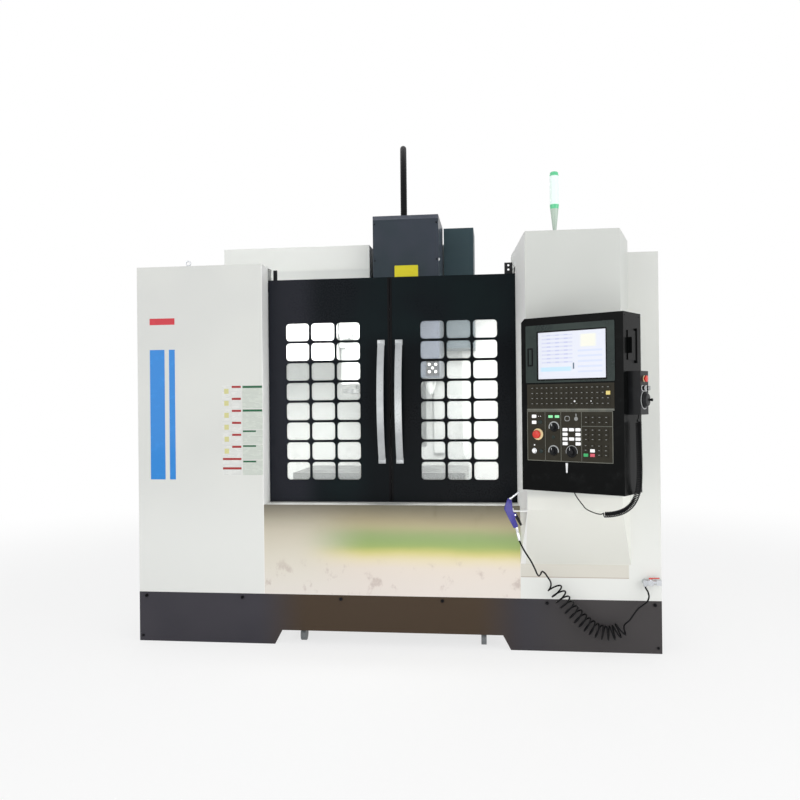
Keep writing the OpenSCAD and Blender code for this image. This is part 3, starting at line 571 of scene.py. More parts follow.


# Painted light: a near-white that makes side faces look lit, on the left panel's return and on the tower's left
# chamfer.
PAINTED_SIDE_LIGHT = Tint(252, 252, 250)
FRONT = (-1.60, -0.55)
RIGHT_PANEL = (0.70, 1.26)
BASE_ZONES = (
    Zone(Tint(75, 61, 46), x=(-0.60, 0.60), y=FRONT, soft=0.16, share=0.9),
    # Painted light: the base is lighter at its right end.
    Zone(Tint(73, 70, 70), x=(0.80, 1.80), soft=0.20, share=0.9),
)
PANEL_ZONES = (
    # Painted light: the panels get lighter towards the bottom.
    Zone(Tint(233, 234, 230), z=(-0.1, 0.80), soft=0.30),
    # Painted light: the left panel's return, which faces the doors, is near-white.
    Zone(PAINTED_SIDE_LIGHT, x=(-0.7035, -0.60), y=FRONT),
    Zone(Tint(213, 208, 196), RIGHT_PANEL, FRONT, (0.392, 0.462), 0.003, 0.8),
    Zone(Tint(168, 148, 130), RIGHT_PANEL, FRONT, (0.389, 0.393), 0.0005, 0.8),
)
# Painted light on the tower: its sloped lower section is lighter, and its left chamfer is near-white.
TOWER_PAINTED_LIGHT = (
    Zone(Tint(240, 240, 232), z=(0.44, 0.86), soft=0.02),
    Zone(PAINTED_SIDE_LIGHT, x=(0.60, 0.727)),
)
# Painted light: white-painted pieces are lighter above 2.22 m, at the top of the magazine housing.
HOUSING_PAINTED_LIGHT = (Zone(Tint(250, 251, 247), z=(2.22, 2.90), soft=0.01),)
SILL_ZONES = (Zone(Tint(232, 233, 228), z=(0.74, 0.7672), soft=0.0002),)
# Painted reflection and painted shade on the doors: lighter at the left, darker over the right door below 1.68 m.
DOOR_PAINTED_LIGHT_AND_SHADE = (
    Zone(Tint(42, 43, 50), x=(-0.80, -0.46), soft=0.08, share=0.8),
    Zone(Tint(9, 12, 16), x=(-0.16, 0.80), z=(0.7, 1.68), soft=0.08, share=0.8),
)
SERVICE_ZONES = (Zone(Tint(68, 86, 92), x=(0.2195, 0.60), share=0.9),)

FINISHES = (
    Paint("base_dark", Tint(67, 65, 71), Tint(61, 60, 66), 0.5, 600, 2.2, 0.09, shine=0.12, zones=BASE_ZONES),
    Casting("casting_green_grey", Tint(112, 120, 120), Tint(88, 94, 94)),
    Casting("casting_light", Tint(206, 209, 206), Tint(190, 193, 190)),
    Paint("dark_steel", Tint(40, 42, 44), Tint(50, 51, 53), 0.4, 80, shine=0.2),
    Paint("tank_grey", Tint(126, 130, 132), Tint(116, 120, 122), 0.4, 200),
    Paint("motor_black", Tint(34, 35, 38), Tint(44, 45, 48), 0.38, 60, shine=0.25),
    Paint("panel_grey", Tint(224, 225, 220), Tint(220, 221, 217), 0.46, 700, zones=PANEL_ZONES),
    Paint("panel_white", Tint(237, 238, 235), Tint(231, 233, 230), 0.34, 500, 2.2, 0.04, 0.1,
          zones=HOUSING_PAINTED_LIGHT),
    StainedSheet("stainless"),
    Paint("rail_black", Tint(30, 31, 34), Tint(40, 41, 44), 0.36, 90, shine=0.2, zones=SILL_ZONES),
    Paint("tower_grey", Tint(214, 216, 211), Tint(209, 211, 206), 0.46, 650, zones=TOWER_PAINTED_LIGHT),
    LampTube("lamp_glass", 2.157),
    Paint("head_slate", Tint(68, 73, 83), Tint(61, 70, 77), 0.34, 380, 2.0, 0.06, shine=0.1,
          zones=SERVICE_ZONES),
    Metal("chromed", Tint(214, 216, 220), Tint(190, 194, 198), 0.16),
    Metal("machined_iron", Tint(166, 168, 166), Tint(140, 142, 138), 0.36, (30.0, 1.0, 1.0)),
    Metal("cover_steel", Tint(190, 192, 192), Tint(170, 172, 170), 0.32, (1.0, 30.0, 1.0)),
    Metal("machined_steel", Tint(206, 208, 210), Tint(186, 188, 190), 0.22, (1.0, 1.0, 1.0)),
    Moulding("black_rubber", Tint(15, 15, 17), 0.4, shine=0.12),
    Paint("door_navy", Tint(17, 20, 25), Tint(18, 29, 31), 0.3, 480, 2.4, 0.06, streaks=0.25, shine=0.06,
          zones=DOOR_PAINTED_LIGHT_AND_SHADE),
    Pane("pane_clear"),
    Metal("handle_silver", Tint(184, 187, 188), Tint(170, 173, 175), 0.3, (1.0, 1.0, 40.0), 0.6),
    Moulding("pendant_black", Tint(11, 12, 12), 0.24, grain_mm=1.1, shine=0.06),
    Moulding("key_grey", Tint(46, 43, 34), 0.42, shine=0.15),
    Moulding("red_plastic", Tint(214, 42, 26), 0.24, 0.6),
    Moulding("knob_black", Tint(18, 19, 21), 0.36, 0.05, shine=0.15),
    Moulding("white_plastic", Tint(240, 241, 242), 0.26, 0.4),
    Moulding("blue_plastic", Tint(62, 57, 152), 0.28, 0.3),
    Moulding("gasket_black", Tint(12, 12, 14), 0.5, shine=0.1),
    # The bezel's green tint is a painted green reflection.
    Paint("bezel_grey", Tint(42, 54, 50), Tint(34, 45, 43), 0.24, 90, 1.2, 0.02, 0.05, shine=0.2),
    Paint("rail_olive", Tint(112, 112, 100), Tint(98, 100, 92), 0.4, 60),
    Moulding("legend_grey", Tint(150, 152, 150), 0.5),
    Moulding("scale_silver", Tint(170, 172, 172), 0.3, 0.3),
    Glow("lit_green", Tint(120, 220, 150), 0.3),
    Glow("lit_white", Tint(244, 244, 244), 0.2),
    Moulding("key_yellow", Tint(236, 214, 128), 0.3, 0.3),
    Moulding("key_green", Tint(60, 178, 106), 0.3, 0.3),
    Moulding("key_rose", Tint(224, 96, 112), 0.3, 0.3),
    Moulding("collar_cream", Tint(248, 224, 170), 0.3, 0.4),
    Moulding("plate_yellow", Tint(238, 224, 44), 0.35),
    Placard("placard_pale", Tint(229, 230, 226)),
    Placard("placard_mint", Tint(210, 216, 207)),
    Moulding("bar_red", Tint(168, 52, 52), 0.4),
    Moulding("bar_green", Tint(38, 98, 66), 0.4),
    Moulding("square_straw", Tint(214, 210, 150), 0.4),
    Moulding("stripe_blue", Tint(32, 134, 216), 0.34, 0.3),
    Moulding("stripe_red", Tint(206, 38, 54), 0.34, 0.3),
    Paint("fold_slate", Tint(86, 90, 102), Tint(78, 84, 94), 0.3, 120, 2.0, 0.03, shine=0.3),
    Metal("bright_steel", Tint(226, 228, 230), Tint(206, 208, 212), 0.2),
    Metal("screw_black", Tint(30, 30, 32), Tint(46, 46, 48), 0.4, (1.0, 1.0, 1.0)),
    Glow("work_light", Tint(255, 255, 250), 1.0),
)


# Places and mesh work

def linked(name: str, data: bpy.types.ID) -> bpy.types.Object:
    """A new object in the scene.

    Args:
        name: Its name.
        data: Its mesh, curve, lamp or camera.

    Returns:
        The object.
    """
    made = bpy.data.objects.new(name, data)
    bpy.context.scene.collection.objects.link(made)
    return made


class Places:
    """Turns the machine's own millimetres into the shared frame's metres."""

    def __init__(self) -> None:
        """Reads the front, the pendant's corner and its turn from the frame."""
        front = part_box("left_front_panel")[0].y
        self.machine = Matrix.Translation((0, front, 0)) @ Matrix.Scale(MM, 4)
        press = next(joint for joint in frame["joints"] if joint["name"] == "estop_press")
        inward = Vector(press["axis"]).normalized()
        self.along = Vector((inward.y, -inward.x, 0))
        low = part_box("pendant_casing")[0]
        width = PENDANT_WIDTH * MM
        corner = Vector((low.x, low.y - self.along.y * width, low.z))
        turn = Matrix((self.along, inward, (0, 0, 1))).transposed().to_4x4()
        self.pendant = Matrix.Translation(corner) @ turn @ Matrix.Scale(MM, 4)

    def front(self, x: float, y: float, z: float) -> Matrix:
        """A place on the machine whose own Z points to the operator."""
        return self.machine @ Matrix.Translation((x, y, z)) @ OUTWARD

    def face(self, x: float, z: float, y: float = 0.0) -> Matrix:
        """A place on the pendant's face whose own Z points to the operator."""
        return self.pendant @ Matrix.Translation((x, y, z)) @ OUTWARD

    def side(self, x: float, y: float, z: float) -> Matrix:
        """A place on the pendant's right side whose own Z points away from it."""
        return self.pendant @ Matrix.Translation((x, y, z)) @ SIDEWARD


def on_circle(radius: float, angle: float) -> Vector:
    """A point on a circle about the origin."""
    return Vector((radius * math.cos(angle), radius * math.sin(angle), 0))


def round_ring(radius: float, sides: int = 40) -> list[Vector]:
    """The points of a circle about the origin."""
    return [on_circle(radius, FULL_TURN * i / sides) for i in range(sides)]


def rounded(width: float, height: float, corner: float, steps: int = 4) -> list[Vector]:
    """The outline of a rectangle with round corners, about the origin.

    Args:
        width: Its size in X.
        height: Its size in Y.
        corner: The corners' radius.
        steps: How many edges make a corner.

    Returns:
        Its points, counterclockwise.
    """
    points = []
    for quarter, (sx, sy) in enumerate(((1, 1), (-1, 1), (-1, -1), (1, -1))):
        middle = Vector((sx * (width / 2 - corner), sy * (height / 2 - corner), 0))
        points += [middle + on_circle(corner, FULL_TURN / 4 * (quarter + step / steps))
                   for step in range(steps + 1)]
    return points


def moved(outline: Iterable[Vector], by: Point) -> list[Vector]:
    """The outline moved by that much."""
    return [point + Vector(by) for point in outline]


def lifted(outline: Iterable[Vector], height: float) -> list[Vector]:
    """The outline moved up its own Z."""
    return moved(outline, (0, 0, height))


class Shape:
    """A mesh in the making, in millimetres, at a place in the shared frame or at the origin."""

    def __init__(self, place: Optional[Matrix] = None) -> None:
        """Starts an empty mesh at that place."""
        self.place = place or Matrix.Identity(4)
        self.mesh = bmesh.new()

    def loft(self, rings: Sequence[Sequence[Vector]], closed: bool = False) -> "Shape":
        """Skins rings of equal length.

        Args:
            rings: The rings from one end to the other. A ring of one point is a pole.
            closed: Whether the last ring joins the first. Otherwise both ends get a cap.

        Returns:
            The shape itself.
        """
        laid = [[self.mesh.verts.new(point) for point in ring] for ring in rings]
        pairs = list(zip(laid, laid[1:])) + ([(laid[-1], laid[0])] if closed else [])
        for lower, upper in pairs:
            count = max(len(lower), len(upper))
            for i in range(count):
                j = (i + 1) % count
                corners = [lower[i % len(lower)], lower[j % len(lower)],
                           upper[j % len(upper)], upper[i % len(upper)]]
                self.mesh.faces.new(list(dict.fromkeys(corners)))
        for end in () if closed else (laid[0], laid[-1]):
            if len(end) > 2:
                self.mesh.faces.new(end)
        return self

    def turned(self, profile: Sequence[Span], at: Point = (0, 0, 0), sides: int = 40,
               closed: bool = False) -> "Shape":
        """Turns a profile of (radius, height) pairs about the own Z axis through a point.

        Args:
            profile: The pairs, from one end to the other.
            at: The point.
            sides: How many sides the circle has.
            closed: Whether the profile is a closed one.

        Returns:
            The shape itself.
        """
        rings = [lifted(round_ring(radius, sides) if radius > 0 else [Vector()], height)
                 for radius, height in profile]
        return self.loft([moved(ring, at) for ring in rings], closed)

    def cap(self, width: float, height: float, depth: float, corner: float = 2.0, edge: float = 0.8,
            at: Point = (0, 0, 0)) -> "Shape":
        """A key cap with round corners and a broken edge.

        Args:
            width: Its size in X.
            height: Its size in Y.
            depth: Its size in Z.
            corner: The corners' radius.
            edge: How far the edge is broken.
            at: The middle of its foot.

        Returns:
            The shape itself.
        """
        outer = rounded(width, height, corner)
        inner = rounded(width - 2 * edge, height - 2 * edge, max(corner - edge, 0.2))
        rings = (outer, lifted(outer, depth - edge), lifted(inner, depth))
        return self.loft([moved(ring, at) for ring in rings])

    def frame(self, outer: Sequence[Vector], inner: Sequence[Vector], depth: float,
              edge: float = 0.5) -> "Shape":
        """A flat ring between two outlines of equal length, with its front edges broken.

        Args:
            outer: The outer outline.
            inner: The inner outline.
            depth: Its size in Z.
            edge: How far the edges are broken.

        Returns:
            The shape itself.
        """
        middle = sum(outer, Vector()) / len(outer)
        drawn_in = [p + (middle - p).normalized() * edge for p in outer]
        drawn_out = [p + (p - middle).normalized() * edge for p in inner]
        return self.loft([outer, lifted(outer, depth - edge), lifted(drawn_in, depth),
                          lifted(drawn_out, depth), lifted(inner, depth - edge), inner], closed=True)

    def block(self, low: Point, high: Point, edge: float = 0.6, steps: int = 2) -> "Shape":
        """A block with its edges rounded.

        Args:
            low: Its lowest corner.
            high: Its highest corner.
            edge: The edges' radius.
            steps: How many faces round an edge.

        Returns:
            The shape itself.
        """
        first, last = Vector(low), Vector(high)
        spread = Matrix.Translation((first + last) / 2) @ Matrix.Diagonal((*(last - first), 1))
        made = bmesh.ops.create_cube(self.mesh, size=1.0, matrix=spread)
        return self._soften({line for corner in made["verts"] for line in corner.link_edges}, edge, steps)

    def prism(self, outline: Sequence[Span], low: float, high: float, edge: float, steps: int = 3) -> "Shape":
        """An outline in X and Z, as thick as from low to high in Y, with all its edges rounded.

        Args:
            outline: Its (X, Z) points.
            low: Where it starts in Y.
            high: Where it ends in Y.
            edge: The edges' radius.
            steps: How many faces round an edge.

        Returns:
            The shape itself.
        """
        ends = [[self.mesh.verts.new((x, y, z)) for x, z in outline] for y in (low, high)]
        faces = [self.mesh.faces.new(end) for end in ends]
        for i in range(len(outline)):
            j = (i + 1) % len(outline)
            faces.append(self.mesh.faces.new((ends[0][i], ends[0][j], ends[1][j], ends[1][i])))
        return self._soften({line for face in faces for line in face.edges}, edge, steps)

    def _soften(self, edges: Iterable[bmesh.types.BMEdge], edge: float, steps: int) -> "Shape":
        """Rounds edges by that radius."""
        bmesh.ops.bevel(self.mesh, geom=list(edges), offset=edge, segments=steps, profile=0.5, affect="EDGES")
        return self

    def mesh_only(self, name: str) -> bpy.types.Mesh:
        """Finishes the mesh, with its faces outwards, and gives it.

        Args:
            name: The mesh's name.

        Returns:
            The mesh, in the shared frame.
        """
        bmesh.ops.recalc_face_normals(self.mesh, faces=self.mesh.faces[:])
        made = bpy.data.meshes.new(name)
        self.mesh.to_mesh(made)
        self.mesh.free()
        made.transform(self.place)
        return made


def socket_screw(radius: float, height: float) -> Shape:
    """A socket head screw with its hexagon recess.

    Args:
        radius: The head's radius.
        height: The head's height.

    Returns:
        The screw's head.
    """
    hexagon = radius * 0.55
    profile = ((0, -1), (radius, -1), (radius, height * 0.8), (radius * 0.9, height),
               (hexagon, height), (hexagon * 0.98, height * 0.35), (0, height * 0.35))
    return Shape().turned(profile, sides=18)


def button_screw(radius: float, height: float) -> Shape:
    """A low domed screw head.

    Args:
        radius: The head's radius.
        height: The head's height.

    Returns:
        The screw's head.
    """
    profile = ((0, -0.6), (radius, -0.6), (radius * 0.96, height * 0.4), (radius * 0.7, height * 0.85),
               (0, height))
    return Shape().turned(profile, sides=16)


# Geometry Nodes

class Growth(Bench):
    """A Geometry Nodes tree with its sizes as named inputs, and the material as the last."""

    KINDS = {int: "NodeSocketInt", float: "NodeSocketFloat", bpy.types.Object: "NodeSocketObject",
             bpy.types.Material: "NodeSocketMaterial"}

    def __init__(self, name: str, inputs: dict[str, type]) -> None:
        """Starts the tree.

        Args:
            name: The tree's name.
            inputs: The names and kinds of its inputs.
        """
        super().__init__(bpy.data.node_groups.new(name, "GeometryNodeTree"))
        face = self.tree.interface
        face.new_socket("Geometry", in_out="OUTPUT", socket_type="NodeSocketGeometry")
        self.kinds = {**inputs, "Finish": bpy.types.Material}
        self.keys = {label: face.new_socket(label, in_out="INPUT", socket_type=self.KINDS[kind]).identifier
                     for label, kind in self.kinds.items()}
        self.start = self.node("NodeGroupInput")

    def size(self, name: str) -> Wire:
        """One input of the tree, ready for sums."""
        return self.wire(self.start, name)

    def end(self, last: bpy.types.Node) -> None:
        """Makes what the last node gives real, dresses it and closes the tree.

        Args:
            last: The node.
        """
        real = self.node("GeometryNodeRealizeInstances", sockets={0: last})
        dressed = self.node("GeometryNodeSetMaterial", sockets={
            "Geometry": real, "Material": self.size("Finish")})
        self.node("NodeGroupOutput", sockets={0: dressed})

    def grow(self, name: str, **values: object) -> bpy.types.Mesh:
        """Runs the tree once.

        Args:
            name: The name of the mesh.
            **values: What the inputs get, by their names with _ for a space.

        Returns:
            The plain mesh.
        """
        carrier = linked(name + "_carrier", bpy.data.meshes.new(name + "_carrier"))
        modifier = carrier.modifiers.new("growth", "NODES")
        modifier.node_group = self.tree
        for key, value in values.items():
            label = key.replace("_", " ")
            kind = self.kinds[label]
            modifier[self.keys[label]] = kind(value) if kind in (int, float) else value
        mesh = bpy.data.meshes.new_from_object(carrier.evaluated_get(bpy.context.evaluated_depsgraph_get()))
        carrier.modifiers.remove(modifier)
        bpy.data.objects.remove(carrier)
        mesh.name = name
        return mesh


class Layout(Enum):
    """How a pattern sets its copies out."""

    GRID = "grid"
    RING = "ring"


class Pattern(Growth):
    """Copies of a part, in columns and rows or round a circle."""

    def __init__(self, layout: Layout) -> None:
        """Builds the tree for one layout.

        Args:
            layout: The layout.
        """
        sizes = ({"Columns": int, "Rows": int, "Column Pitch": float, "Row Pitch": float}
                 if layout is Layout.GRID else {"Count": int, "Radius": float})
        super().__init__(f"{layout.value}_of_parts", {**sizes, "Part": bpy.types.Object})
        part = self.node("GeometryNodeObjectInfo", {"transform_space": "ORIGINAL"},
                         {"Object": self.size("Part")})
        points, turn = self._grid() if layout is Layout.GRID else self._ring()
        self.end(self.node("GeometryNodeInstanceOnPoints", sockets={
            "Points": points, "Instance": part.outputs["Geometry"], "Rotation": turn}))

    def _grid(self) -> tuple[bpy.types.Node, Point]:
        """Points in columns and rows about the origin.

        Returns:
            The node that gives the points, and no turn.
        """
        columns, rows = self.size("Columns"), self.size("Rows")
        made = self.node("GeometryNodeMeshGrid", sockets={
            "Size X": (columns - 1) * self.size("Column Pitch"),
            "Size Y": (rows - 1) * self.size("Row Pitch"),
            "Vertices X": columns, "Vertices Y": rows})
        return made, (0.0, 0.0, 0.0)

    def _ring(self) -> tuple[bpy.types.Node, bpy.types.Node]:
        """Points on a circle, with the turn that faces each copy outwards.

        Returns:
            The node that gives the points, and the one that gives the turn.
        """
        count = self.size("Count")
        made = self.node("GeometryNodeMeshCircle", sockets={"Vertices": count, "Radius": self.size("Radius")})
        angle = self.wire(self.node("GeometryNodeInputIndex")) * FULL_TURN / count
        spin = self.node("ShaderNodeCombineXYZ", sockets={"Z": angle})
        return made, self.node("FunctionNodeEulerToRotation", sockets={0: spin})

    def lay(self, name: str, part: Shape, finish: bpy.types.Material, place: Matrix,
            **sizes: float) -> bpy.types.Mesh:
        """Sets the copies out.

        Args:
            name: The name of the mesh.
            part: The part to repeat, made at the origin.
            finish: Its material.
            place: Where the pattern lies in the shared frame.
            **sizes: The tree's sizes by name, with _ for a space.

        Returns:
            One plain mesh with all the copies.
        """
        sample = linked(name + "_part", part.mesh_only(name + "_part"))
        mesh = self.grow(name, Part=sample, Finish=finish, **sizes)
        bpy.data.objects.remove(sample)
        mesh.transform(place)
        return mesh


class RibbedHose(Growth):
    """A ribbed hose that rises from its gland, arches back and runs down to its foot."""

    SIZES = ("Foot", "Gland", "Spring", "Reach", "Hose Radius", "Rib Height", "Rib Pitch")
    STATIONS = 1200
    SIDES = 20

    def __init__(self) -> None:
        """Builds the tree."""
        super().__init__("ribbed_hose", {name: float for name in self.SIZES})
        foot, gland, spring, reach, radius, height, pitch = map(self.size, self.SIZES)
        rise, fall, bow = spring - gland, spring - foot, reach * 0.5
        arch = bow * math.pi
        run = self.wire(self.node("GeometryNodeSplineParameter"), "Factor") * (rise + arch + fall)
        angle = ((run - rise) / bow).clamped(0.0, math.pi)
        climb = run.clamped(0.0, rise) - (run - rise - arch).clamped(0.0, fall)
        path = self.node("ShaderNodeCombineXYZ", sockets={
            "Y": bow - bow * (angle + math.pi / 2).sine(), "Z": gland + climb + bow * angle.sine()})
        beat = ((run - pitch * 0.25) * FULL_TURN / pitch).sine()
        line = self.node("GeometryNodeCurvePrimitiveLine", sockets={"Start": (0, 0, 0), "End": (0, 0, 1)})
        dense = self.node("GeometryNodeResampleCurve", sockets={"Curve": line, "Count": self.STATIONS})
        placed = self.node("GeometryNodeSetPosition", sockets={"Geometry": dense, "Position": path})
        ring = self.node("GeometryNodeCurvePrimitiveCircle", sockets={
            "Resolution": self.SIDES, "Radius": 1.0})
        self.end(self.node("GeometryNodeCurveToMesh", sockets={
            "Curve": placed, "Profile Curve": ring, "Scale": radius - height * (0.5 - 0.5 * beat),
            "Fill Caps": True}))


class Workshop:
    """Makes the finishes and patterns once, and turns meshes into pieces that ride on their bodies."""

    def __init__(self) -> None:
        """Builds every finish and both patterns."""
        self.places = Places()
        low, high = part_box("display")
        across = math.hypot(high.x - low.x, high.y - low.y)
        screen = Screen("display_glow", (low.x, high.y, low.z), tuple(self.places.along), across,
                        high.z - low.z)
        self.finishes = {finish.name: finish.build() for finish in (*FINISHES, screen)}
        self.patterns = {layout: Pattern(layout) for layout in Layout}

    def piece(self, name: str, mesh: bpy.types.Mesh, finish: str, body: str, slot: str,
              replaces: Sequence[str] = ()) -> None:
        """Puts a mesh into the scene as a finished piece.

        Args:
            name: The piece's name.
            mesh: Its mesh, in the shared frame.
            finish: The name of its finish.
            body: The body that it rides on.
            slot: The record's slot that its finish belongs to. Not used.
            replaces: The CAD nodes that it stands for.
        """
        made = linked(name, mesh)
        mesh.materials.clear()
        mesh.materials.append(self.finishes[finish])
        mesh.polygons.foreach_set("use_smooth", [True] * len(mesh.polygons))
        mesh.set_sharp_from_angle(angle=SHARP_ANGLE)
        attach(made, body)
        if replaces:
            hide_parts(*replaces)
        log.info("%s: %d faces on %s", name, len(mesh.polygons), body)

    def dress_nodes(self) -> None:
        """Gives every CAD node the finish of its slot."""
        for part in frame["record"]["subparts"]:
            for slot in frame["nodes"][part["node"]].material_slots:
                slot.material = self.finishes[part["material_slot"]]
            log.info("%s: finished as %s", part["node"], part["material_slot"])


# Sub-assemblies

@dataclass
class Assembly:
    """A group of pieces, most of them on one body, and the workshop that makes them."""

    shop: Workshop
    BODY: ClassVar[str] = "frame"

    def build(self) -> None:
        """Makes the pieces, each group in its own way."""
        raise NotImplementedError

    @property
    def places(self) -> Places:
        """The places of the machine and the pendant."""
        return self.shop.places

    def shape(self, name: str, shape: Shape, finish: str, slot: str, body: str = "",
              replaces: Sequence[str] = ()) -> None:
        """Finishes a shape and puts it into the scene as a piece."""
        self.shop.piece(name, shape.mesh_only(name), finish, body or self.BODY, slot, replaces)

    def turned(self, name: str, place: Matrix, profile: Sequence[Span], finish: str, slot: str,
               body: str = "", replaces: Sequence[str] = (), sides: int = 40, closed: bool = False) -> None:
        """Turns one profile at a place and puts it into the scene as a piece."""
        shape = Shape(place).turned(profile, sides=sides, closed=closed)
        self.shape(name, shape, finish, slot, body, replaces)

    def grid(self, name: str, part: Shape, finish: str, slot: str, place: Matrix, counts: tuple[int, int],
             pitches: Span, body: str = "") -> None:
        """Puts copies in columns and rows into the scene as one piece."""
        self._copies(name, Layout.GRID, part, finish, slot, place, body, Columns=counts[0], Rows=counts[1],
                     Column_Pitch=pitches[0], Row_Pitch=pitches[1])

    def ring(self, name: str, part: Shape, finish: str, slot: str, place: Matrix, count: int, radius: float,
             body: str = "") -> None:
        """Puts copies round a circle into the scene as one piece."""
        self._copies(name, Layout.RING, part, finish, slot, place, body, Count=count, Radius=radius)

    def _copies(self, name: str, layout: Layout, part: Shape, finish: str, slot: str, place: Matrix,
                body: str, **sizes: float) -> None:
        """Lays a pattern and puts it into the scene as one piece."""
        mesh = self.shop.patterns[layout].lay(name, part, self.shop.finishes[finish], place, **sizes)
        self.shop.piece(name, mesh, finish, body or self.BODY, slot)


@dataclass
class Enclosure(Assembly):
    """Small things on the outer sheets: screws, an eye, placards and plain stripes."""

    skirt_screw_z: float = 254.0
    skirt_screw_pitch: float = 554.4
    eye_foot: Point = (-1146.0, 60.0, 2098.0)
    eye_rise: float = 25.0
    eye_radius: float = 13.0
    eye_thickness: float = 4.0
    stripe_left: float = -1352.0
    stripe_foot: float = 905.0
    stripe_head: float = 1632.0

    EYE_COLLAR = ((0, 0), (17, 0), (17, 5), (9, 8), (7, 14), (0, 14))

    def build(self) -> None:
        """Makes the pieces."""
        self._skirt_screws()
        self._lifting_eye()
        self._placards()
        self._stripes()

    def _skirt_screws(self) -> None:
        """The row of black screws along the top of the skirt, and one low at each end."""
        self.grid("skirt_screws", socket_screw(9.0, 8.0), "screw_black", "dark_steel",
                  self.places.front(4, 0, self.skirt_screw_z), (6, 1), (self.skirt_screw_pitch, 1))
        self.grid("skirt_low_screws", socket_screw(7.0, 6.0), "screw_black", "dark_steel",
                  self.places.front(0, 0, 30), (2, 1), (2810, 1))

    def _lifting_eye(self) -> None:
        """The lifting eye on the roof edge of the left panel."""
        middle = Vector(self.eye_foot) + Vector((0, 0, self.eye_rise))
        rings = []
        for spoke in round_ring(1, 28):
            out = Vector((spoke.x, 0, spoke.y))
            skin = [part.x * out + Vector((0, part.y, 0)) for part in round_ring(self.eye_thickness, 10)]
            rings.append(moved(skin, middle + self.eye_radius * out))
        shape = Shape(self.places.machine).turned(self.EYE_COLLAR, self.eye_foot, 28).loft(rings, closed=True)
        self.shape("lifting_eye", shape, "bright_steel", "chromed")

    def _plates(self, name: str, boxes: Sequence[Sequence[float]], finish: str, depth: float,
                edge: float = 0.25) -> None:
        """Flat plates on the left panel, each from its left, right, foot and head.

        Args:
            name: The piece's name.
            boxes: The plates.
            finish: Their finish.
            depth: How far they stand out.
            edge: The edges' radius.
        """
        shape = Shape(self.places.machine)
        for left, right, foot, head in boxes:
            shape.block((left, -depth, foot), (right, 0.2, head), edge, 1)
        self.shape(name, shape, finish, "panel_grey")

    def _placards(self) -> None:
        """Plain placards in three columns: coloured squares, red headings and green headings."""
        rows = [1429 - 66.5 * i for i in range(6)]
        pale = [(-934, -884, z - 62, z) for z in rows] + [(-880, -824, z - 62, z) for z in rows]
        pale += [(-934, -824, 978, 1030), (-934, -824, 928, 974)]
        heads = [1427, 1296, 1180, 1098, 1012]
        mint = [(-818, -703, foot + 4, head) for head, foot in zip(heads, [*heads[1:], 926])]
        red = [(-878, -826, z - 16, z - 4) for z in rows] + [(-932, -826, 1013, 1025), (-932, -826, 961, 973)]
        green = [(-816, -705, head - 15, head - 3) for head in heads[:2]]
        green += [(-816, -742, head - 12, head - 3) for head in heads[2:]]
        squares = [(-922, -896, z - 48, z - 20) for z in rows]
        self._plates("placards_pale", pale, "placard_pale", 0.8)
        self._plates("placards_mint", mint, "placard_mint", 0.8)
        self._plates("placard_red_heads", red, "bar_red", 1.2)
        self._plates("placard_green_heads", green, "bar_green", 1.2)
        self._plates("placard_squares", squares, "square_straw", 1.2)

    def _stripes(self) -> None:
        """Two plain blue stripes and a short red one on the left panel."""
        left, right, foot, head = self.stripe_left, self.stripe_left + 146, self.stripe_foot, self.stripe_head
        blue = [(left, left + 86, foot, head), (right - 34, right, foot, head)]
        self._plates("blue_stripes", blue, "stripe_blue", 0.8, 0.3)
        self._plates("red_stripe", [(left, right, head + 140, head + 176)], "stripe_red", 0.8, 0.3)


@dataclass
class Doors(Assembly):
    """The window seals, edge seals and handle feet of the two sliding doors."""

    split_x: float = -6.0
    field_x: float = 382.0
    field_z: float = 1334.0
    counts: tuple[int, int] = (3, 8)
    pitches: Span = (145.5, 111.8)
    window_w: float = 133.0
    window_h: float = 100.0
    window_r: float = 20.0
    face_y: float = 128.0
    edge_foot: float = 775.0
    edge_head: float = 2021.0
    handle_x: float = 50.0
    handle_z: float = 1328.5
    handle_l: float = 687.0

    def build(self) -> None:
        """Makes the pieces of both doors."""
        for side, name in ((-1, "left"), (1, "right")):
            self._seals(name, side)
            self._handle_feet(name, side)

    def _seals(self, name: str, side: int) -> None:
        """A rubber seal round each window, and the strip on the meeting edge.

        Args:
            name: The door's name.
            side: -1 for the left door and 1 for the right.
        """
        part = Shape().frame(rounded(self.window_w + 5, self.window_h + 5, self.window_r + 2.5, 6),
                             rounded(self.window_w - 2, self.window_h - 2, self.window_r - 1, 6), 1.6)
        self.grid(f"{name}_window_seals", part, "gasket_black", "black_rubber",
                  self.places.front(self.split_x + side * self.field_x, self.face_y, self.field_z),
                  self.counts, self.pitches, f"{name}_door")
        near, far = sorted((self.split_x + side * 1.2, self.split_x + side * 12.2))
        strip = Shape(self.places.machine).block((near, self.face_y - 2.2, self.edge_foot),
                                                 (far, self.face_y + 0.2, self.edge_head), 0.9)
        self.shape(f"{name}_edge_seal", strip, "gasket_black", "black_rubber", f"{name}_door")

    def _handle_feet(self, name: str, side: int) -> None:
        """The two feet that hold the bowed handle.

        Args:
            name: The door's name.
            side: -1 for the left door and 1 for the right.
        """
        x = self.split_x + side * self.handle_x
        feet = Shape(self.places.machine)
        for end in (-1, 1):
            z = self.handle_z + end * (self.handle_l / 2 - 14)
            feet.block((x - 21, self.face_y - 7, z - 16), (x + 21, self.face_y + 0.2, z + 16), 2.5)
        self.shape(f"{name}_handle_feet", feet, "handle_silver", "handle_silver", f"{name}_door")


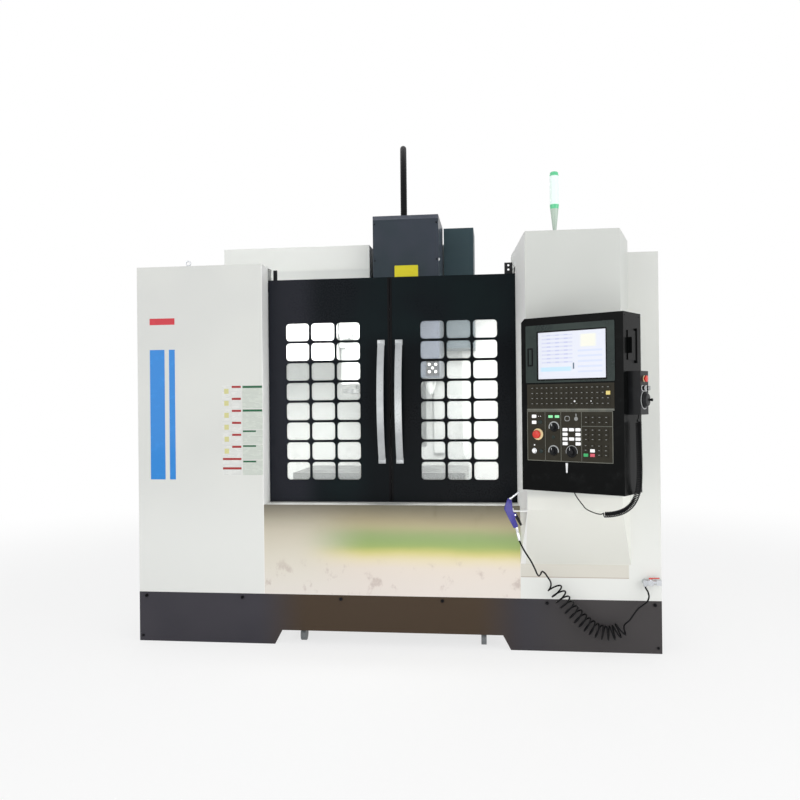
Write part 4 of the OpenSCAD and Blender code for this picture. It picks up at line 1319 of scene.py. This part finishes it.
@dataclass
class HeadTrim(Assembly):
    """The head cover's folded lip, its plate, stud and screws, and the small lamp plate low on it."""

    BODY: ClassVar[str] = "head"
    half: float = 215.0
    front_y: float = 895.0
    top: float = 2545.0
    foot: float = 1480.0
    plate_z: float = 2164.0
    stud_y: float = 925.0
    stud_z: float = 2256.0
    lamp_x: float = 169.0
    lamp_z: float = 1545.0

    STUD = ((0, 0), (9, 0), (9, 3), (6, 5.5), (0, 6))
    DOT = ((0, 0), (8.5, 0), (8, 1.4), (0, 2))
    DOTS = ((-21, 24), (21, 24), (0, 0), (-21, -24), (21, -24))

    def build(self) -> None:
        """Makes the pieces."""
        places, front = self.places, self.front_y
        lip = Shape(places.machine).block((-self.half + 0.5, front - 1.6, self.top - 26),
                                          (self.half - 0.5, front + 0.4, self.top - 0.6), 0.8)
        self.shape("head_cover_lip", lip, "fold_slate", "head_slate")
        plate = Shape(places.front(4, front, self.plate_z)).cap(154, 108, 1.4, 5, 0.5)
        self.shape("head_plate", plate, "plate_yellow", "head_slate")
        for side, name in ((-1, "left"), (1, "right")):
            middle = places.front(side * (self.half - 12), front, (self.top + self.foot) / 2)
            self.grid(f"head_cover_{name}_screws", button_screw(5.5, 3.2), "screw_black", "dark_steel",
                      middle, (1, 5), (1, 240))
        stud = places.machine @ Matrix.Translation((self.half, self.stud_y, self.stud_z)) @ SIDEWARD
        # The stud is white plastic and no lamp: its glow is painted light.
        self.turned("head_cover_stud", stud, self.STUD, "lit_white", "white_plastic")
        lamp = Shape(places.front(self.lamp_x, front, self.lamp_z)).cap(84, 100, 3.0, 6, 1.0)
        self.shape("head_lamp_plate", lamp, "gasket_black", "knob_black")
        dots = Shape(places.front(self.lamp_x, front - 3, self.lamp_z))
        for x, z in self.DOTS:
            dots.turned(self.DOT, (x, z, 0), 20)
        self.shape("head_lamp_dots", dots, "work_light", "white_plastic")


@dataclass
class Conduit(Assembly):
    """The ribbed cable conduit that arches from the head over the column."""

    BODY: ClassVar[str] = "head"
    front: Point = (-37.0, 1150.0)
    back: Point = (-162.0, 2243.0)
    cover_top: float = 2545.0
    spring: float = 2655.0
    foot: float = 2200.0
    radius: float = 22.5
    rib: float = 1.1
    pitch: float = 13.0

    GLAND = ((23, 0.2), (33.5, 0.2), (33.5, 8), (30, 9), (30, 22), (26, 29.5), (23, 29.5))

    def build(self) -> None:
        """Sweeps the ribbed hose along its arch and adds the gland."""
        mesh = RibbedHose().grow(
            "conduit_hose", Foot=self.foot, Gland=self.cover_top + 0.4, Spring=self.spring,
            Reach=math.dist(self.front, self.back), Hose_Radius=self.radius, Rib_Height=self.rib,
            Rib_Pitch=self.pitch, Finish=self.shop.finishes["black_rubber"])
        turn = math.atan2(self.front[0] - self.back[0], self.back[1] - self.front[1])
        foot = self.places.machine @ Matrix.Translation((*self.front, 0)) @ Matrix.Rotation(turn, 4, "Z")
        mesh.transform(foot)
        self.shop.piece("conduit_hose", mesh, "black_rubber", self.BODY, "black_rubber", ["cable_conduit"])
        self.turned("conduit_gland", foot @ Matrix.Translation((0, 0, self.cover_top)), self.GLAND,
                    "gasket_black", "black_rubber", sides=36, closed=True)


@dataclass(frozen=True)
class KeyField:
    """One block of equal keys on the pendant."""

    name: str
    finish: str
    x: float
    z: float
    counts: tuple[int, int]
    pitches: Span
    width: float
    height: float
    depth: float = 5.6


@dataclass
class Pendant(Assembly):
    """The face of the control pendant: bezel, keys, lights, knobs and their scales."""

    BODY: ClassVar[str] = "pendant"
    key_foot: float = -1.2
    plate_face: float = -1.4

    KEYS = (
        KeyField("typing_keys", "key_grey", 246.5, 436, (16, 4), (25, 24), 18.6, 16.6, 4.6),
        KeyField("upper_right_keys", "key_grey", 377, 327, (4, 2), (32, 22), 20.6, 13.6),
        KeyField("middle_right_keys", "key_grey", 376, 261, (4, 3), (32, 21), 20.6, 13.6),
        KeyField("lower_right_keys", "key_grey", 374, 192, (4, 3), (32, 20), 20.6, 13.6),
        KeyField("white_side_keys", "lit_white", 257, 252.5, (2, 4), (64, 21), 24.6, 14.6),
        KeyField("white_middle_keys", "lit_white", 257, 263, (1, 2), (1, 42), 24.6, 14.6),
        KeyField("white_start_keys", "lit_white", 67, 330, (1, 2), (1, 28), 22.6, 15.6),
    )
    SINGLE_KEYS = (
        ("yellow_key", "key_yellow", 434, 448, 19.2, 17.2, 5.2),
        ("green_key", "key_green", 326, 172, 21.2, 14.2, 6.2),
        ("rose_key", "key_rose", 358, 172, 21.2, 14.2, 6.2),
        ("white_key", "lit_white", 358, 192, 21.2, 14.2, 6.2),
    )
    KNOBS = (("feed_knob", 168, 294, 19, 5.5), ("rapid_knob", 165, 185, 19, 5.5),
             ("mode_knob", 256, 184, 24, 2.6))
    SMALL_LIGHTS = ((67, 211, 3.4), (273, 412, 4.2), (89, 344, 1.8), (100, 344, 1.8), (353, 412, 2.6))
    PEG = ((0, 0), (3.0, 0), (3.6, 2), (5.5, 40), (5.5, 44), (0, 45))
    STOP_COLLAR = ((20.6, 1.5), (26.5, 1.5), (26.5, 4), (24.5, 6.5), (12, 8.5), (9, 8.5), (9, 1.5))
    STOP_CAP = ((0, -13.9), (7.9, -13.9), (7.9, 14.2), (18.5, 14.2), (19.8, 16), (19.8, 19), (18.4, 22.4),
                (15, 24.6), (9, 25.8), (0, 26))
    POWER_CAP = ((0, -11.9), (5.9, -11.9), (5.9, 5.1), (8.9, 5.1), (8.9, 8), (7.8, 8.9), (0, 9))
    POWER_RIM = ((9.6, 1.4), (12.5, 1.4), (12.5, 3), (11, 4), (9.6, 4))

    def build(self) -> None:
        """Makes the pieces."""
        self._bezel()
        self._keys()
        self._lights()
        for knob in self.KNOBS:
            self._knob(*knob)
        self._stop_button()
        self._power_button()
        self._borders()

    def _bezel(self) -> None:
        """The grey bezel round the screen, the card slot beside it and the frame's inner edge."""
        places = self.places
        hole = rounded(346, 227, 3, 5)
        bezel = Shape(places.face(246, 631.5, -3))
        bezel.frame(rounded(441, 266, 6, 5), moved(hole, (11, -10, 0)), 0.9, 0.4)
        self.shape("screen_bezel", bezel, "bezel_grey", "pendant_black")
        slot = Shape(places.face(50, 618, -3.8)).frame(rounded(28, 84, 4), rounded(16, 72, 2), 2.2, 0.6)
        self.shape("card_slot", slot, "gasket_black", "knob_black")
        inner = Shape(places.face(257.5, 622)).frame(hole, rounded(333, 214, 1, 5), 2.4, 0.3)
        self.shape("screen_edge", inner, "gasket_black", "knob_black")

    def _keys(self) -> None:
        """Every block of keys, the small pale marks on the dark ones, and the single keys."""
        for field in self.KEYS:
            dark = field.finish == "key_grey"
            self.grid(field.name, self._key(None, field.width, field.height, field.depth), field.finish,
                      "key_grey" if dark else "white_plastic",
                      self.places.face(field.x, field.z, self.key_foot), field.counts, field.pitches)
            if dark:
                mark = Shape().block((-3.6, -1.2, -0.1), (3.6, 1.2, 0.25), 0.1, 1)
                self.grid(field.name + "_marks", mark, "legend_grey", "white_plastic",
                          self.places.face(field.x, field.z + 2, -field.depth), field.counts, field.pitches)
        for name, finish, x, z, *size in self.SINGLE_KEYS:
            self.shape(name, self._key(self.places.face(x, z, self.key_foot), *size), finish, "white_plastic")

    def _key(self, place: Optional[Matrix], width: float, height: float, depth: float) -> Shape:
        """A key that stands as far as its depth out of the casing."""
        return Shape(place).cap(width, height, depth + self.key_foot, 2.2, 1.0)

    def _lights(self) -> None:
        """The two green lamps, the small white lights, plain icons and the white peg."""
        green = Shape(self.places.pendant)
        for x in (152, 185):
            green.block((x - 11, -4.5, 337), (x + 11, self.key_foot, 349), 1.2)
        self.shape("green_lamps", green, "lit_green", "lamp_glass")
        plate = self.places.face(0, 0, self.plate_face)
        white = Shape(plate)
        for x, z, radius in self.SMALL_LIGHTS:
            white.turned(((0, 0), (radius, 0), (radius, 1.2), (radius * 0.6, 2.2), (0, 2.6)), (x, z, 0), 20)
        self.shape("small_lights", white, "lit_white", "white_plastic")
        outer, inner = (moved(ring, (235, 334, 0)) for ring in (rounded(26, 24, 9, 5), rounded(20, 18, 7, 5)))
        icons = Shape(plate).frame(outer, inner, 0.9, 0.2)
        icons.turned(((0, 0), (9, 0), (9, 0.7), (0, 0.8)), (279, 333, 0), 24)
        icons.cap(5, 12, 0.8, 1, 0.2, (279, 350, 0))
        self.shape("plain_icons", icons, "legend_grey", "white_plastic")
        dark = Shape(plate).turned(((0, 0), (9.5, 0), (9.5, 3), (7.5, 4), (0, 4.2)), (102, 183, 0), 28)
        dark.cap(22, 15, 2.2, 2, 0.6, (97, 317, 0))
        dark.turned(((0, 0), (8, 0), (8, 2), (3.2, 3), (3.2, 11), (0, 12)), (165, 249, 0), 24)
        self.shape("dark_buttons", dark, "bezel_grey", "key_grey")
        self.turned("white_peg", self.places.pendant @ Matrix.Translation((233, -5.5, 89)), self.PEG,
                    "white_plastic", "white_plastic", sides=20)

    def _knob(self, name: str, x: float, z: float, radius: float, scale_width: float) -> None:
        """A rotary knob with a knurled skirt and a pointer, over its scale.

        Args:
            name: The knob's name.
            x: Its place across the face.
            z: Its place up the face.
            radius: The radius of its skirt.
            scale_width: The width of its scale.
        """
        place = self.places.face(x, z)
        skirt, inner = radius - 0.7, radius + 2.6
        profile = ((0, -12), (3.9, -12), (3.9, 0.35), (skirt, 0.35), (skirt, 5.4), (radius * 0.74, 6.6),
                   (radius * 0.62, 19.4), (radius * 0.54, 20.8), (0, 21))
        knob = Shape(place).turned(profile).block((-1.9, -1, 5.2), (1.9, radius * 0.89, 21.9), 0.8)
        self.shape(name + "_body", knob, "knob_black", "knob_black", name, [name])
        rib = Shape().block((-0.9, -0.7, 0.6), (0.7, 0.7, 5.2), 0.3, 1)
        self.ring(name + "_knurl", rib, "knob_black", "knob_black", place, 36, skirt, name)
        mark = Shape(place).block((-0.8, radius * 0.3, 21.7), (0.8, radius * 0.84, 22.3), 0.2, 1)
        self.shape(name + "_mark", mark, "white_plastic", "white_plastic", name)
        arc = [math.radians(-15 + 210 * i / 40) for i in range(41)]
        outline = [on_circle(inner + scale_width, angle) for angle in arc]
        outline += [on_circle(inner, angle) for angle in reversed(arc)]
        scale = Shape(self.places.face(x, z, self.plate_face)).loft([outline, lifted(outline, 0.7)])
        self.shape(name + "_scale", scale, "scale_silver", "handle_silver")

    def _stop_button(self) -> None:
        """The red mushroom with its cream collar."""
        place = self.places.face(86, 261)
        self.turned("stop_collar", place, self.STOP_COLLAR, "collar_cream", "red_plastic", closed=True)
        self.turned("stop_cap", place, self.STOP_CAP, "red_plastic", "red_plastic", "estop_button",
                    ["estop_button"])

    def _power_button(self) -> None:
        """The round white button in its ring."""
        place = self.places.face(66, 184)
        self.turned("power_cap", place, self.POWER_CAP, "lit_white", "white_plastic", "power_button",
                    ["power_button"])
        self.turned("power_rim", place, self.POWER_RIM, "bright_steel", "handle_silver", closed=True)

    def _borders(self) -> None:
        """The pale rail between the key panels, the thin borders of the lower one, and the side screws."""
        places = self.places
        rail = Shape(places.pendant).block((30, -2.6, 369.2), (462, 0.2, 379), 0.8)
        self.shape("panel_rail", rail, "rail_olive", "handle_silver")
        border = Shape(places.face(242, 253, self.plate_face))
        border.frame(rounded(425, 229, 3), rounded(419, 223, 1.5), 1.0, 0.3)
        self.shape("panel_border", border, "rail_olive", "handle_silver")
        lines = Shape(places.face(0, 0, -2.9))
        for x in (124, 204, 306):
            lines.block((x - 1.2, 141, 0), (x + 1.2, 365, 0.4), 0.15, 1)
        lines.block((309, 298.6, -1.4), (452, 301.0, 0.2), 0.2, 1)
        self.shape("panel_lines", lines, "rail_olive", "handle_silver")
        self.grid("pendant_side_screws", button_screw(3.2, 1.8), "screw_black", "dark_steel",
                  places.side(PENDANT_WIDTH, 94, 400), (2, 2), (770, 150))


@dataclass
class HandwheelUnit(Assembly):
    """The handwheel unit on the pendant's side: wheel, dial, selectors and stop button."""

    BODY: ClassVar[str] = "pendant"
    face_x: float = 560.0
    middle_y: float = 90.0
    wheel_z: float = 415.0
    selector_z: float = 466.0
    stop_z: float = 507.0

    DIAL = ((36.3, -0.2), (41.5, -0.2), (41.5, 1.0), (40.8, 1.5), (37, 1.5), (36.3, 1.0))
    WHEEL = ((0, -14.9), (4.9, -14.9), (4.9, 0.35), (34, 0.35), (34, 6), (32.2, 7), (29, 13.5), (26, 16.6),
             (12, 17.4), (0, 17.6))
    GRIP = ((0, 16.4), (5.4, 16.4), (5.0, 19), (6.8, 23), (6.6, 26), (4.6, 28), (0, 28.4))
    SELECTOR = ((0, 12.4), (10.6, 12.4), (10.6, 13.4), (9.4, 14.6), (0, 14.8))
    SELECTOR_SCALE = ((10.3, 0.1), (12.8, 0.1), (12.4, 1.2), (10.3, 1.4))
    STOP_COLLAR = ((6.6, 0.1), (14.6, 0.1), (13.6, 1.7), (6.6, 1.7))
    STOP_CAP = ((0, -14.9), (5.9, -14.9), (5.9, 6.2), (14, 6.2), (14.9, 8), (14.4, 12), (11, 14.2), (0, 14.9))

    def build(self) -> None:
        """Makes the pieces."""
        self._wheel(self.places.side(self.face_x, self.middle_y, self.wheel_z))
        for order, y in enumerate((70, 111), 1):
            place = self.places.side(self.face_x, y, self.selector_z)
            knob = Shape(place).turned(self.SELECTOR, sides=28).block((-9.5, -2.4, 14), (9.5, 2.4, 18.5), 0.9)
            self.shape(f"selector_knob_{order}", knob, "scale_silver", "handle_silver")
            self.turned(f"selector_scale_{order}", place, self.SELECTOR_SCALE, "white_plastic",
                        "white_plastic", sides=28, closed=True)
        stop = self.places.side(self.face_x, self.middle_y, self.stop_z)
        self.turned("unit_stop_collar", stop, self.STOP_COLLAR, "collar_cream", "red_plastic", closed=True)
        self.turned("unit_stop_cap", stop, self.STOP_CAP, "red_plastic", "red_plastic", "mpg_estop",
                    ["mpg_estop"])

    def _wheel(self, hub: Matrix) -> None:
        """The knurled wheel with its grip, over the dial and its marks.

        Args:
            hub: The place of its hub.
        """
        self.turned("wheel_dial", hub, self.DIAL, "scale_silver", "handle_silver", closed=True)
        tick = Shape().block((-1.6, -0.35, 1.4), (1.6, 0.35, 1.8), 0.1, 1)
        self.ring("wheel_dial_marks", tick, "gasket_black", "knob_black", hub, 50, 39.2)
        wheel = Shape(hub).turned(self.WHEEL).turned(self.GRIP, (0, 24, 0), 24)
        self.shape("wheel_body", wheel, "knob_black", "knob_black", "mpg_wheel", ["mpg_wheel"])
        rib = Shape().block((-0.8, -0.8, 0.6), (0.9, 0.8, 6.2), 0.3, 1)
        self.ring("wheel_knurl", rib, "knob_black", "knob_black", hub, 60, 34, "mpg_wheel")


@dataclass
class AirGun(Assembly):
    """The blue air gun with its nozzle and hose fitting."""

    middle_y: float = -300.0

    OUTLINE = ((633, 845.5), (622, 818), (612.4, 792), (636, 743), (660, 694.6), (683.4, 704.2), (669, 739),
               (655.7, 770), (655.7, 790), (652, 834))
    NOZZLE = ((0, -8), (6.2, -8), (6.2, 9), (4.4, 11), (4.4, 56), (3.2, 61.5), (1.4, 61.8), (1.4, 50),
              (0, 50))
    FITTING = ((0, 0.2), (6.6, 0.2), (7.0, 2), (7.0, 20), (8.0, 21), (8.0, 40), (6.4, 43), (7.6, 46),
               (7.6, 67), (0, 67.8))
    PIN = ((0, -22), (2.4, -22), (2.4, 0), (3.6, 0), (3.6, 0.8), (0, 1.2))

    def build(self) -> None:
        """Makes the pieces."""
        body = Shape(self.places.machine).prism(self.OUTLINE, self.middle_y - 13.8, self.middle_y + 13.8, 5.5)
        for low in (-14, 7):
            y = self.middle_y + low
            body.block((652, y, 754), (673, y + 7, 771), 1.6)
        self.shape("gun_body", body, "blue_plastic", "blue_plastic", replaces=["air_gun"])
        self.turned("gun_nozzle", self._leaning(641, 838, 52), self.NOZZLE, "bright_steel", "chromed",
                    sides=24)
        self.turned("gun_fitting", self._leaning(687, 634.3, -12), self.FITTING, "bright_steel", "chromed",
                    sides=24)
        self.turned("trigger_pin", self.places.front(668, self.middle_y - 13.8, 762), self.PIN,
                    "bright_steel", "chromed", sides=20)

    def _leaning(self, x: float, z: float, degrees: float) -> Matrix:
        """A place in the gun's middle plane, leaning to the right by that much."""
        spot = Matrix.Translation((x, self.middle_y, z))
        return self.places.machine @ spot @ Matrix.Rotation(math.radians(degrees), 4, "Y")


# Cords

def smooth_path(points: Sequence[Point], step: float) -> list[Vector]:
    """A curve through all the points, as points about one step apart.

    Args:
        points: The points.
        step: The step.

    Returns:
        The curve's points.
    """
    spots = [Vector(p) for p in points]
    ends = [2 * spots[0] - spots[1]] + spots + [2 * spots[-1] - spots[-2]]
    line = []
    for before, start, stop, after in zip(ends, ends[1:], ends[2:], ends[3:]):
        count = max(2, round((stop - start).length / step))
        for i in range(count):
            t = i / count
            line.append(0.5 * (2 * start + t * (stop - before)
                               + t * t * (2 * before - 5 * start + 4 * stop - after)
                               + t ** 3 * (3 * start - before - 3 * stop + after)))
    return line + [spots[-1]]


def length_of(points: Sequence[Vector]) -> float:
    """The length of a line of points."""
    return sum((b - a).length for a, b in zip(points, points[1:]))


def led(part: float) -> float:
    """How far a coil's steep end reaches at a part of its growth, 0 to 1, in lengths of that growth."""
    return part - part ** 3 + part ** 4 / 2


def wound(route: Sequence[Vector], radius: float, turns: float, per_turn: int, ease: float = 0.0,
          grow: float = 0.9) -> list[Vector]:
    """A helix about a route, which leaves and meets the route's middle line in a steep spiral.

    Args:
        route: The middle line of the coil.
        radius: From the middle line to the middle of the cord.
        turns: How many turns it makes.
        per_turn: Points for each turn.
        ease: How much wider the turns stand at the start, 0 for even.
        grow: Over how many turns the radius grows at each end.

    Returns:
        The points of the cord's middle line.
    """
    lengths = [0.0]
    for a, b in zip(route, route[1:]):
        lengths.append(lengths[-1] + (b - a).length)
    steep = FULL_TURN * radius
    even = (lengths[-1] - steep * grow) / (turns - grow)
    points = []
    count = round(turns * per_turn)
    leg = 0
    for i in range(count + 1):
        done = turns * i / count
        first, last = (min(1.0, part / grow) for part in (done, turns - done))
        run = even * done * (1 + ease * (1 - done / turns))
        run += (steep - even) * grow * (led(first) + 0.5 - led(last))
        while leg < len(route) - 2 and lengths[leg + 1] < run:
            leg += 1
        part = (run - lengths[leg]) / (lengths[leg + 1] - lengths[leg])
        middle = route[leg].lerp(route[leg + 1], part)
        ahead = (route[min(leg + 2, len(route) - 1)] - route[max(leg - 1, 0)]).normalized()
        side = ahead.cross(Vector((0, 1, 0))).normalized()
        third = ahead.cross(side)
        angle = FULL_TURN * done
        near = min(first, last)
        out = radius * near * near * (3 - 2 * near)
        points.append(middle + out * (math.cos(angle) * side + math.sin(angle) * third))
    return points


def led_in(points: Sequence[Point], coil: Sequence[Point], step: float) -> list[Vector]:
    """The smooth way along the points up to where a coil's route starts, without that last point.

    Args:
        points: The points that lead to the coil.
        coil: The coil's route.
        step: The step.

    Returns:
        The way's points.
    """
    line = smooth_path([*points, *coil[:2]], step)
    start = Vector(coil[0])
    nearest = min(range(len(line)), key=lambda i: (line[i] - start).length)
    return [point for point in line[:nearest] if (point - start).length > step / 2]


@dataclass
class Cords(Assembly):
    """The coiled air hose and the curly cord of the handwheel unit."""

    hose_d: float = 8.5
    coil_d: float = 80.0
    hose_turns: float = 16.0
    curl_d: float = 28.0
    lead_d: float = 5.0
    curl_turns: float = 66.0

    HOSE_UPPER = ((687, -300, 634), (697, -299, 610), (716, -292, 574), (742, -268, 530), (763, -232, 484),
                  (777, -186, 446), (788, -144, 428), (799, -108, 430), (808, -84, 438))
    COIL = ((828, -62, 418), (850, -62, 378), (880, -62, 334), (915, -62, 287), (953, -62, 241),
            (995, -62, 198), (1040, -62, 159), (1088, -62, 130), (1134, -62, 118), (1180, -62, 126),
            (1222, -62, 154), (1255, -62, 194))
    HOSE_LOWER = ((1277, -62, 226), (1296, -61, 250), (1320, -58, 268), (1342, -53, 285), (1352, -45, 308),
                  (1348, -36, 332), (1339, -31, 348), (1337, -30, 358))
    CURL = ((532, 90, 350.7), (532, 90, 290), (533, 91, 210), (534, 92, 120), (531, 92, 50), (521, 91, 0),
            (500, 90, -42), (468, 87, -72), (426, 84, -90), (380, 80, -98), (340, 77, -97))
    LEAD = ((292, 70, -80), (272, 65, -58), (254, 60, -34), (242, 56, -14), (237, 55, -0.3))

    def build(self) -> None:
        """Makes the air hose from the valve to the gun, and the curly cord from its unit to the pendant."""
        radius = (self.coil_d - self.hose_d) / 2 - 0.5
        coil = wound(smooth_path(self.COIL, 6), radius, self.hose_turns, per_turn=20, ease=0.25, grow=0.6)
        above = led_in(self.HOSE_UPPER, self.COIL, 11)
        below = led_in(self.HOSE_LOWER[::-1], self.COIL[::-1], 11)
        line = smooth_path([*above, *coil, *reversed(below)], 6)[::-1]
        self._cord("air_hose", "frame", self.places.machine, line, self.hose_d * MM,
                   ["hose_ends", "hose_coil"])
        radius = (self.curl_d - self.lead_d) / 2 - 0.5
        coil = wound(smooth_path(self.CURL, 5), radius, self.curl_turns, per_turn=14)
        below = led_in(self.LEAD[::-1], self.CURL[::-1], 5)
        line = smooth_path([*coil, *reversed(below)], 3)
        self._cord("handwheel_cord", "pendant", self.places.pendant, line, self.lead_d * MM, ["mpg_cord"])

    def _cord(self, name: str, body: str, place: Matrix, line: Sequence[Vector], diameter: float,
              replaces: Sequence[str]) -> None:
        """Args:
            name: The cord's name.
            body: The body that it rides on.
            place: Where the line lies in the shared frame.
            line: The points of its middle line, from its exit on.
            diameter: The cord's diameter, in metres.
            replaces: The CAD nodes that it stands for.
        """
        points = [place @ point for point in line]
        data = bpy.data.curves.new(name, "CURVE")
        data.dimensions = "3D"
        data.bevel_depth = diameter / 2
        data.bevel_resolution = 3
        data.use_fill_caps = True
        spline = data.splines.new("POLY")
        spline.points.add(len(points) - 1)
        for spot, point in zip(spline.points, points):
            spot.co = (*point, 1)
        data.materials.append(self.shop.finishes["black_rubber"])
        cord = linked(name, data)
        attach(cord, body)
        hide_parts(*replaces)
        length_of(points)
        log.info("%s: %.3f m of cord", name, length_of(points))


# Floor, light and camera

@dataclass
class Studio:
    """A plain pale floor, soft light and the photograph's viewpoint."""

    front: float
    eye: Point = (588.5, -4332.0, 1324.0)
    turn_left: float = 0.1208
    pitch: float = 0.0029
    roll: float = -0.0102
    focal_px: float = 806.2
    image_px: float = 800.0
    floor_reach: float = 16.0
    floor_drop: float = 0.0006
    floor_fade: Span = (2.6, 6.5)
    floor_white: float = 0.74
    sky_power: float = 0.62

    WHITE = (1, 1, 1, 1)
    SKY = (0.98, 0.99, 1, 1)
    LAMPS = (
        ("key", (-2600, -4000, 2400), (0, 0, 1200), 3.2, 34.0),
        ("right_fill", (3900, -2400, 1700), (-300, 0, 1200), 3.0, 47.0),
        ("low_fill", (500, -3700, 300), (700, -200, 700), 2.2, 28.0),
        ("work_left", (-420, 520, 1850), (-640, 1200, 300), 0.5, 20.0),
        ("work_right", (520, 520, 1850), (560, 1250, 300), 0.5, 20.0),
    )

    def _metres(self, point: Point) -> Vector:
        """A point of the machine in the shared frame."""
        return Vector((point[0] * MM, point[1] * MM + self.front, point[2] * MM))

    def camera(self) -> None:
        """Puts the camera where the photograph was taken from."""
        data = bpy.data.cameras.new("viewpoint")
        data.sensor_width = 36.0
        data.lens = self.focal_px / self.image_px * data.sensor_width
        data.clip_end = 60.0
        ahead = Vector((-math.sin(self.turn_left) * math.cos(self.pitch),
                        math.cos(self.turn_left) * math.cos(self.pitch), math.sin(self.pitch)))
        right = Vector((math.cos(self.turn_left), math.sin(self.turn_left), 0))
        up = right.cross(ahead)
        turned = [math.cos(self.roll) * right + math.sin(self.roll) * up,
                  math.cos(self.roll) * up - math.sin(self.roll) * right, -ahead]
        made = linked("viewpoint", data)
        made.matrix_world = Matrix.Translation(self._metres(self.eye)) @ Matrix(turned).transposed().to_4x4()
        bpy.context.scene.camera = made

    def light(self) -> None:
        """An even sky, a soft key from the upper left, two fills and two work lights inside the machine."""
        world = bpy.data.worlds.new("studio")
        bpy.context.scene.world = world
        world.use_nodes = True
        bench = Bench(world.node_tree)
        world.node_tree.nodes.clear()
        clear = bench.node("ShaderNodeBackground", sockets={"Color": self.WHITE, "Strength": 1.0})
        soft = bench.node("ShaderNodeBackground", sockets={"Color": self.SKY, "Strength": self.sky_power})
        both = bench.node("ShaderNodeMixShader", sockets={
            0: bench.seen().clamped(0.0, 1.0), 1: soft, 2: clear})
        bench.node("ShaderNodeOutputWorld", sockets={0: both})
        for lamp in self.LAMPS:
            self._lamp(*lamp)

    def _lamp(self, name: str, at: Point, towards: Point, size: float, watts: float) -> None:
        """A square soft lamp at a point, turned to another.

        Args:
            name: Its name.
            at: Its place.
            towards: Where it shines to.
            size: Its side, in metres.
            watts: Its power.
        """
        data = bpy.data.lights.new(name, "AREA")
        data.size = size
        data.energy = watts
        start, stop = self._metres(at), self._metres(towards)
        turn = (start - stop).to_track_quat("Z", "Y").to_matrix().to_4x4()
        linked(name, data).matrix_world = Matrix.Translation(start) @ turn

    def floor(self) -> None:
        """A pale floor that keeps the shadow near the machine and fades to white."""
        shade = Shade("studio_floor")
        shade.dress(Base_Color=Tint(250, 250, 250), Roughness=0.7)
        away = shade.node("ShaderNodeVectorMath", {"operation": "LENGTH"}, {0: shade.place})
        far = shade.wire(away, "Value").between(*self.floor_fade)
        white = shade.node("ShaderNodeEmission", sockets={"Color": self.WHITE, "Strength": 1.0})
        mixed = shade.node("ShaderNodeMixShader", sockets={
            0: shade.seen() * (self.floor_white + (1 - self.floor_white) * far), 1: shade.surface, 2: white})
        shade.plug(shade.output.inputs["Surface"], mixed)
        reach = self.floor_reach
        corners = [(x, y, -self.floor_drop) for x, y in ((-reach, -reach), (reach, -reach), (reach, reach),
                                                         (-reach, reach))]
        mesh = bpy.data.meshes.new("studio_floor")
        mesh.from_pydata(corners, [], [(0, 1, 2, 3)])
        mesh.materials.append(shade.material)
        linked("studio_floor", mesh)


def main() -> None:
    """Builds the whole scene in order."""
    logging.basicConfig(level=logging.INFO, format="%(message)s")
    shop = Workshop()
    studio = Studio(shop.places.machine.translation.y)
    studio.camera()
    Cords(shop).build()
    shop.dress_nodes()
    for group in (Enclosure, Doors, HeadTrim, Conduit, Pendant, HandwheelUnit, AirGun):
        group(shop).build()
    studio.floor()
    studio.light()
    bpy.context.scene.view_settings.view_transform = "Standard"


if __name__ == "__main__":
    main()
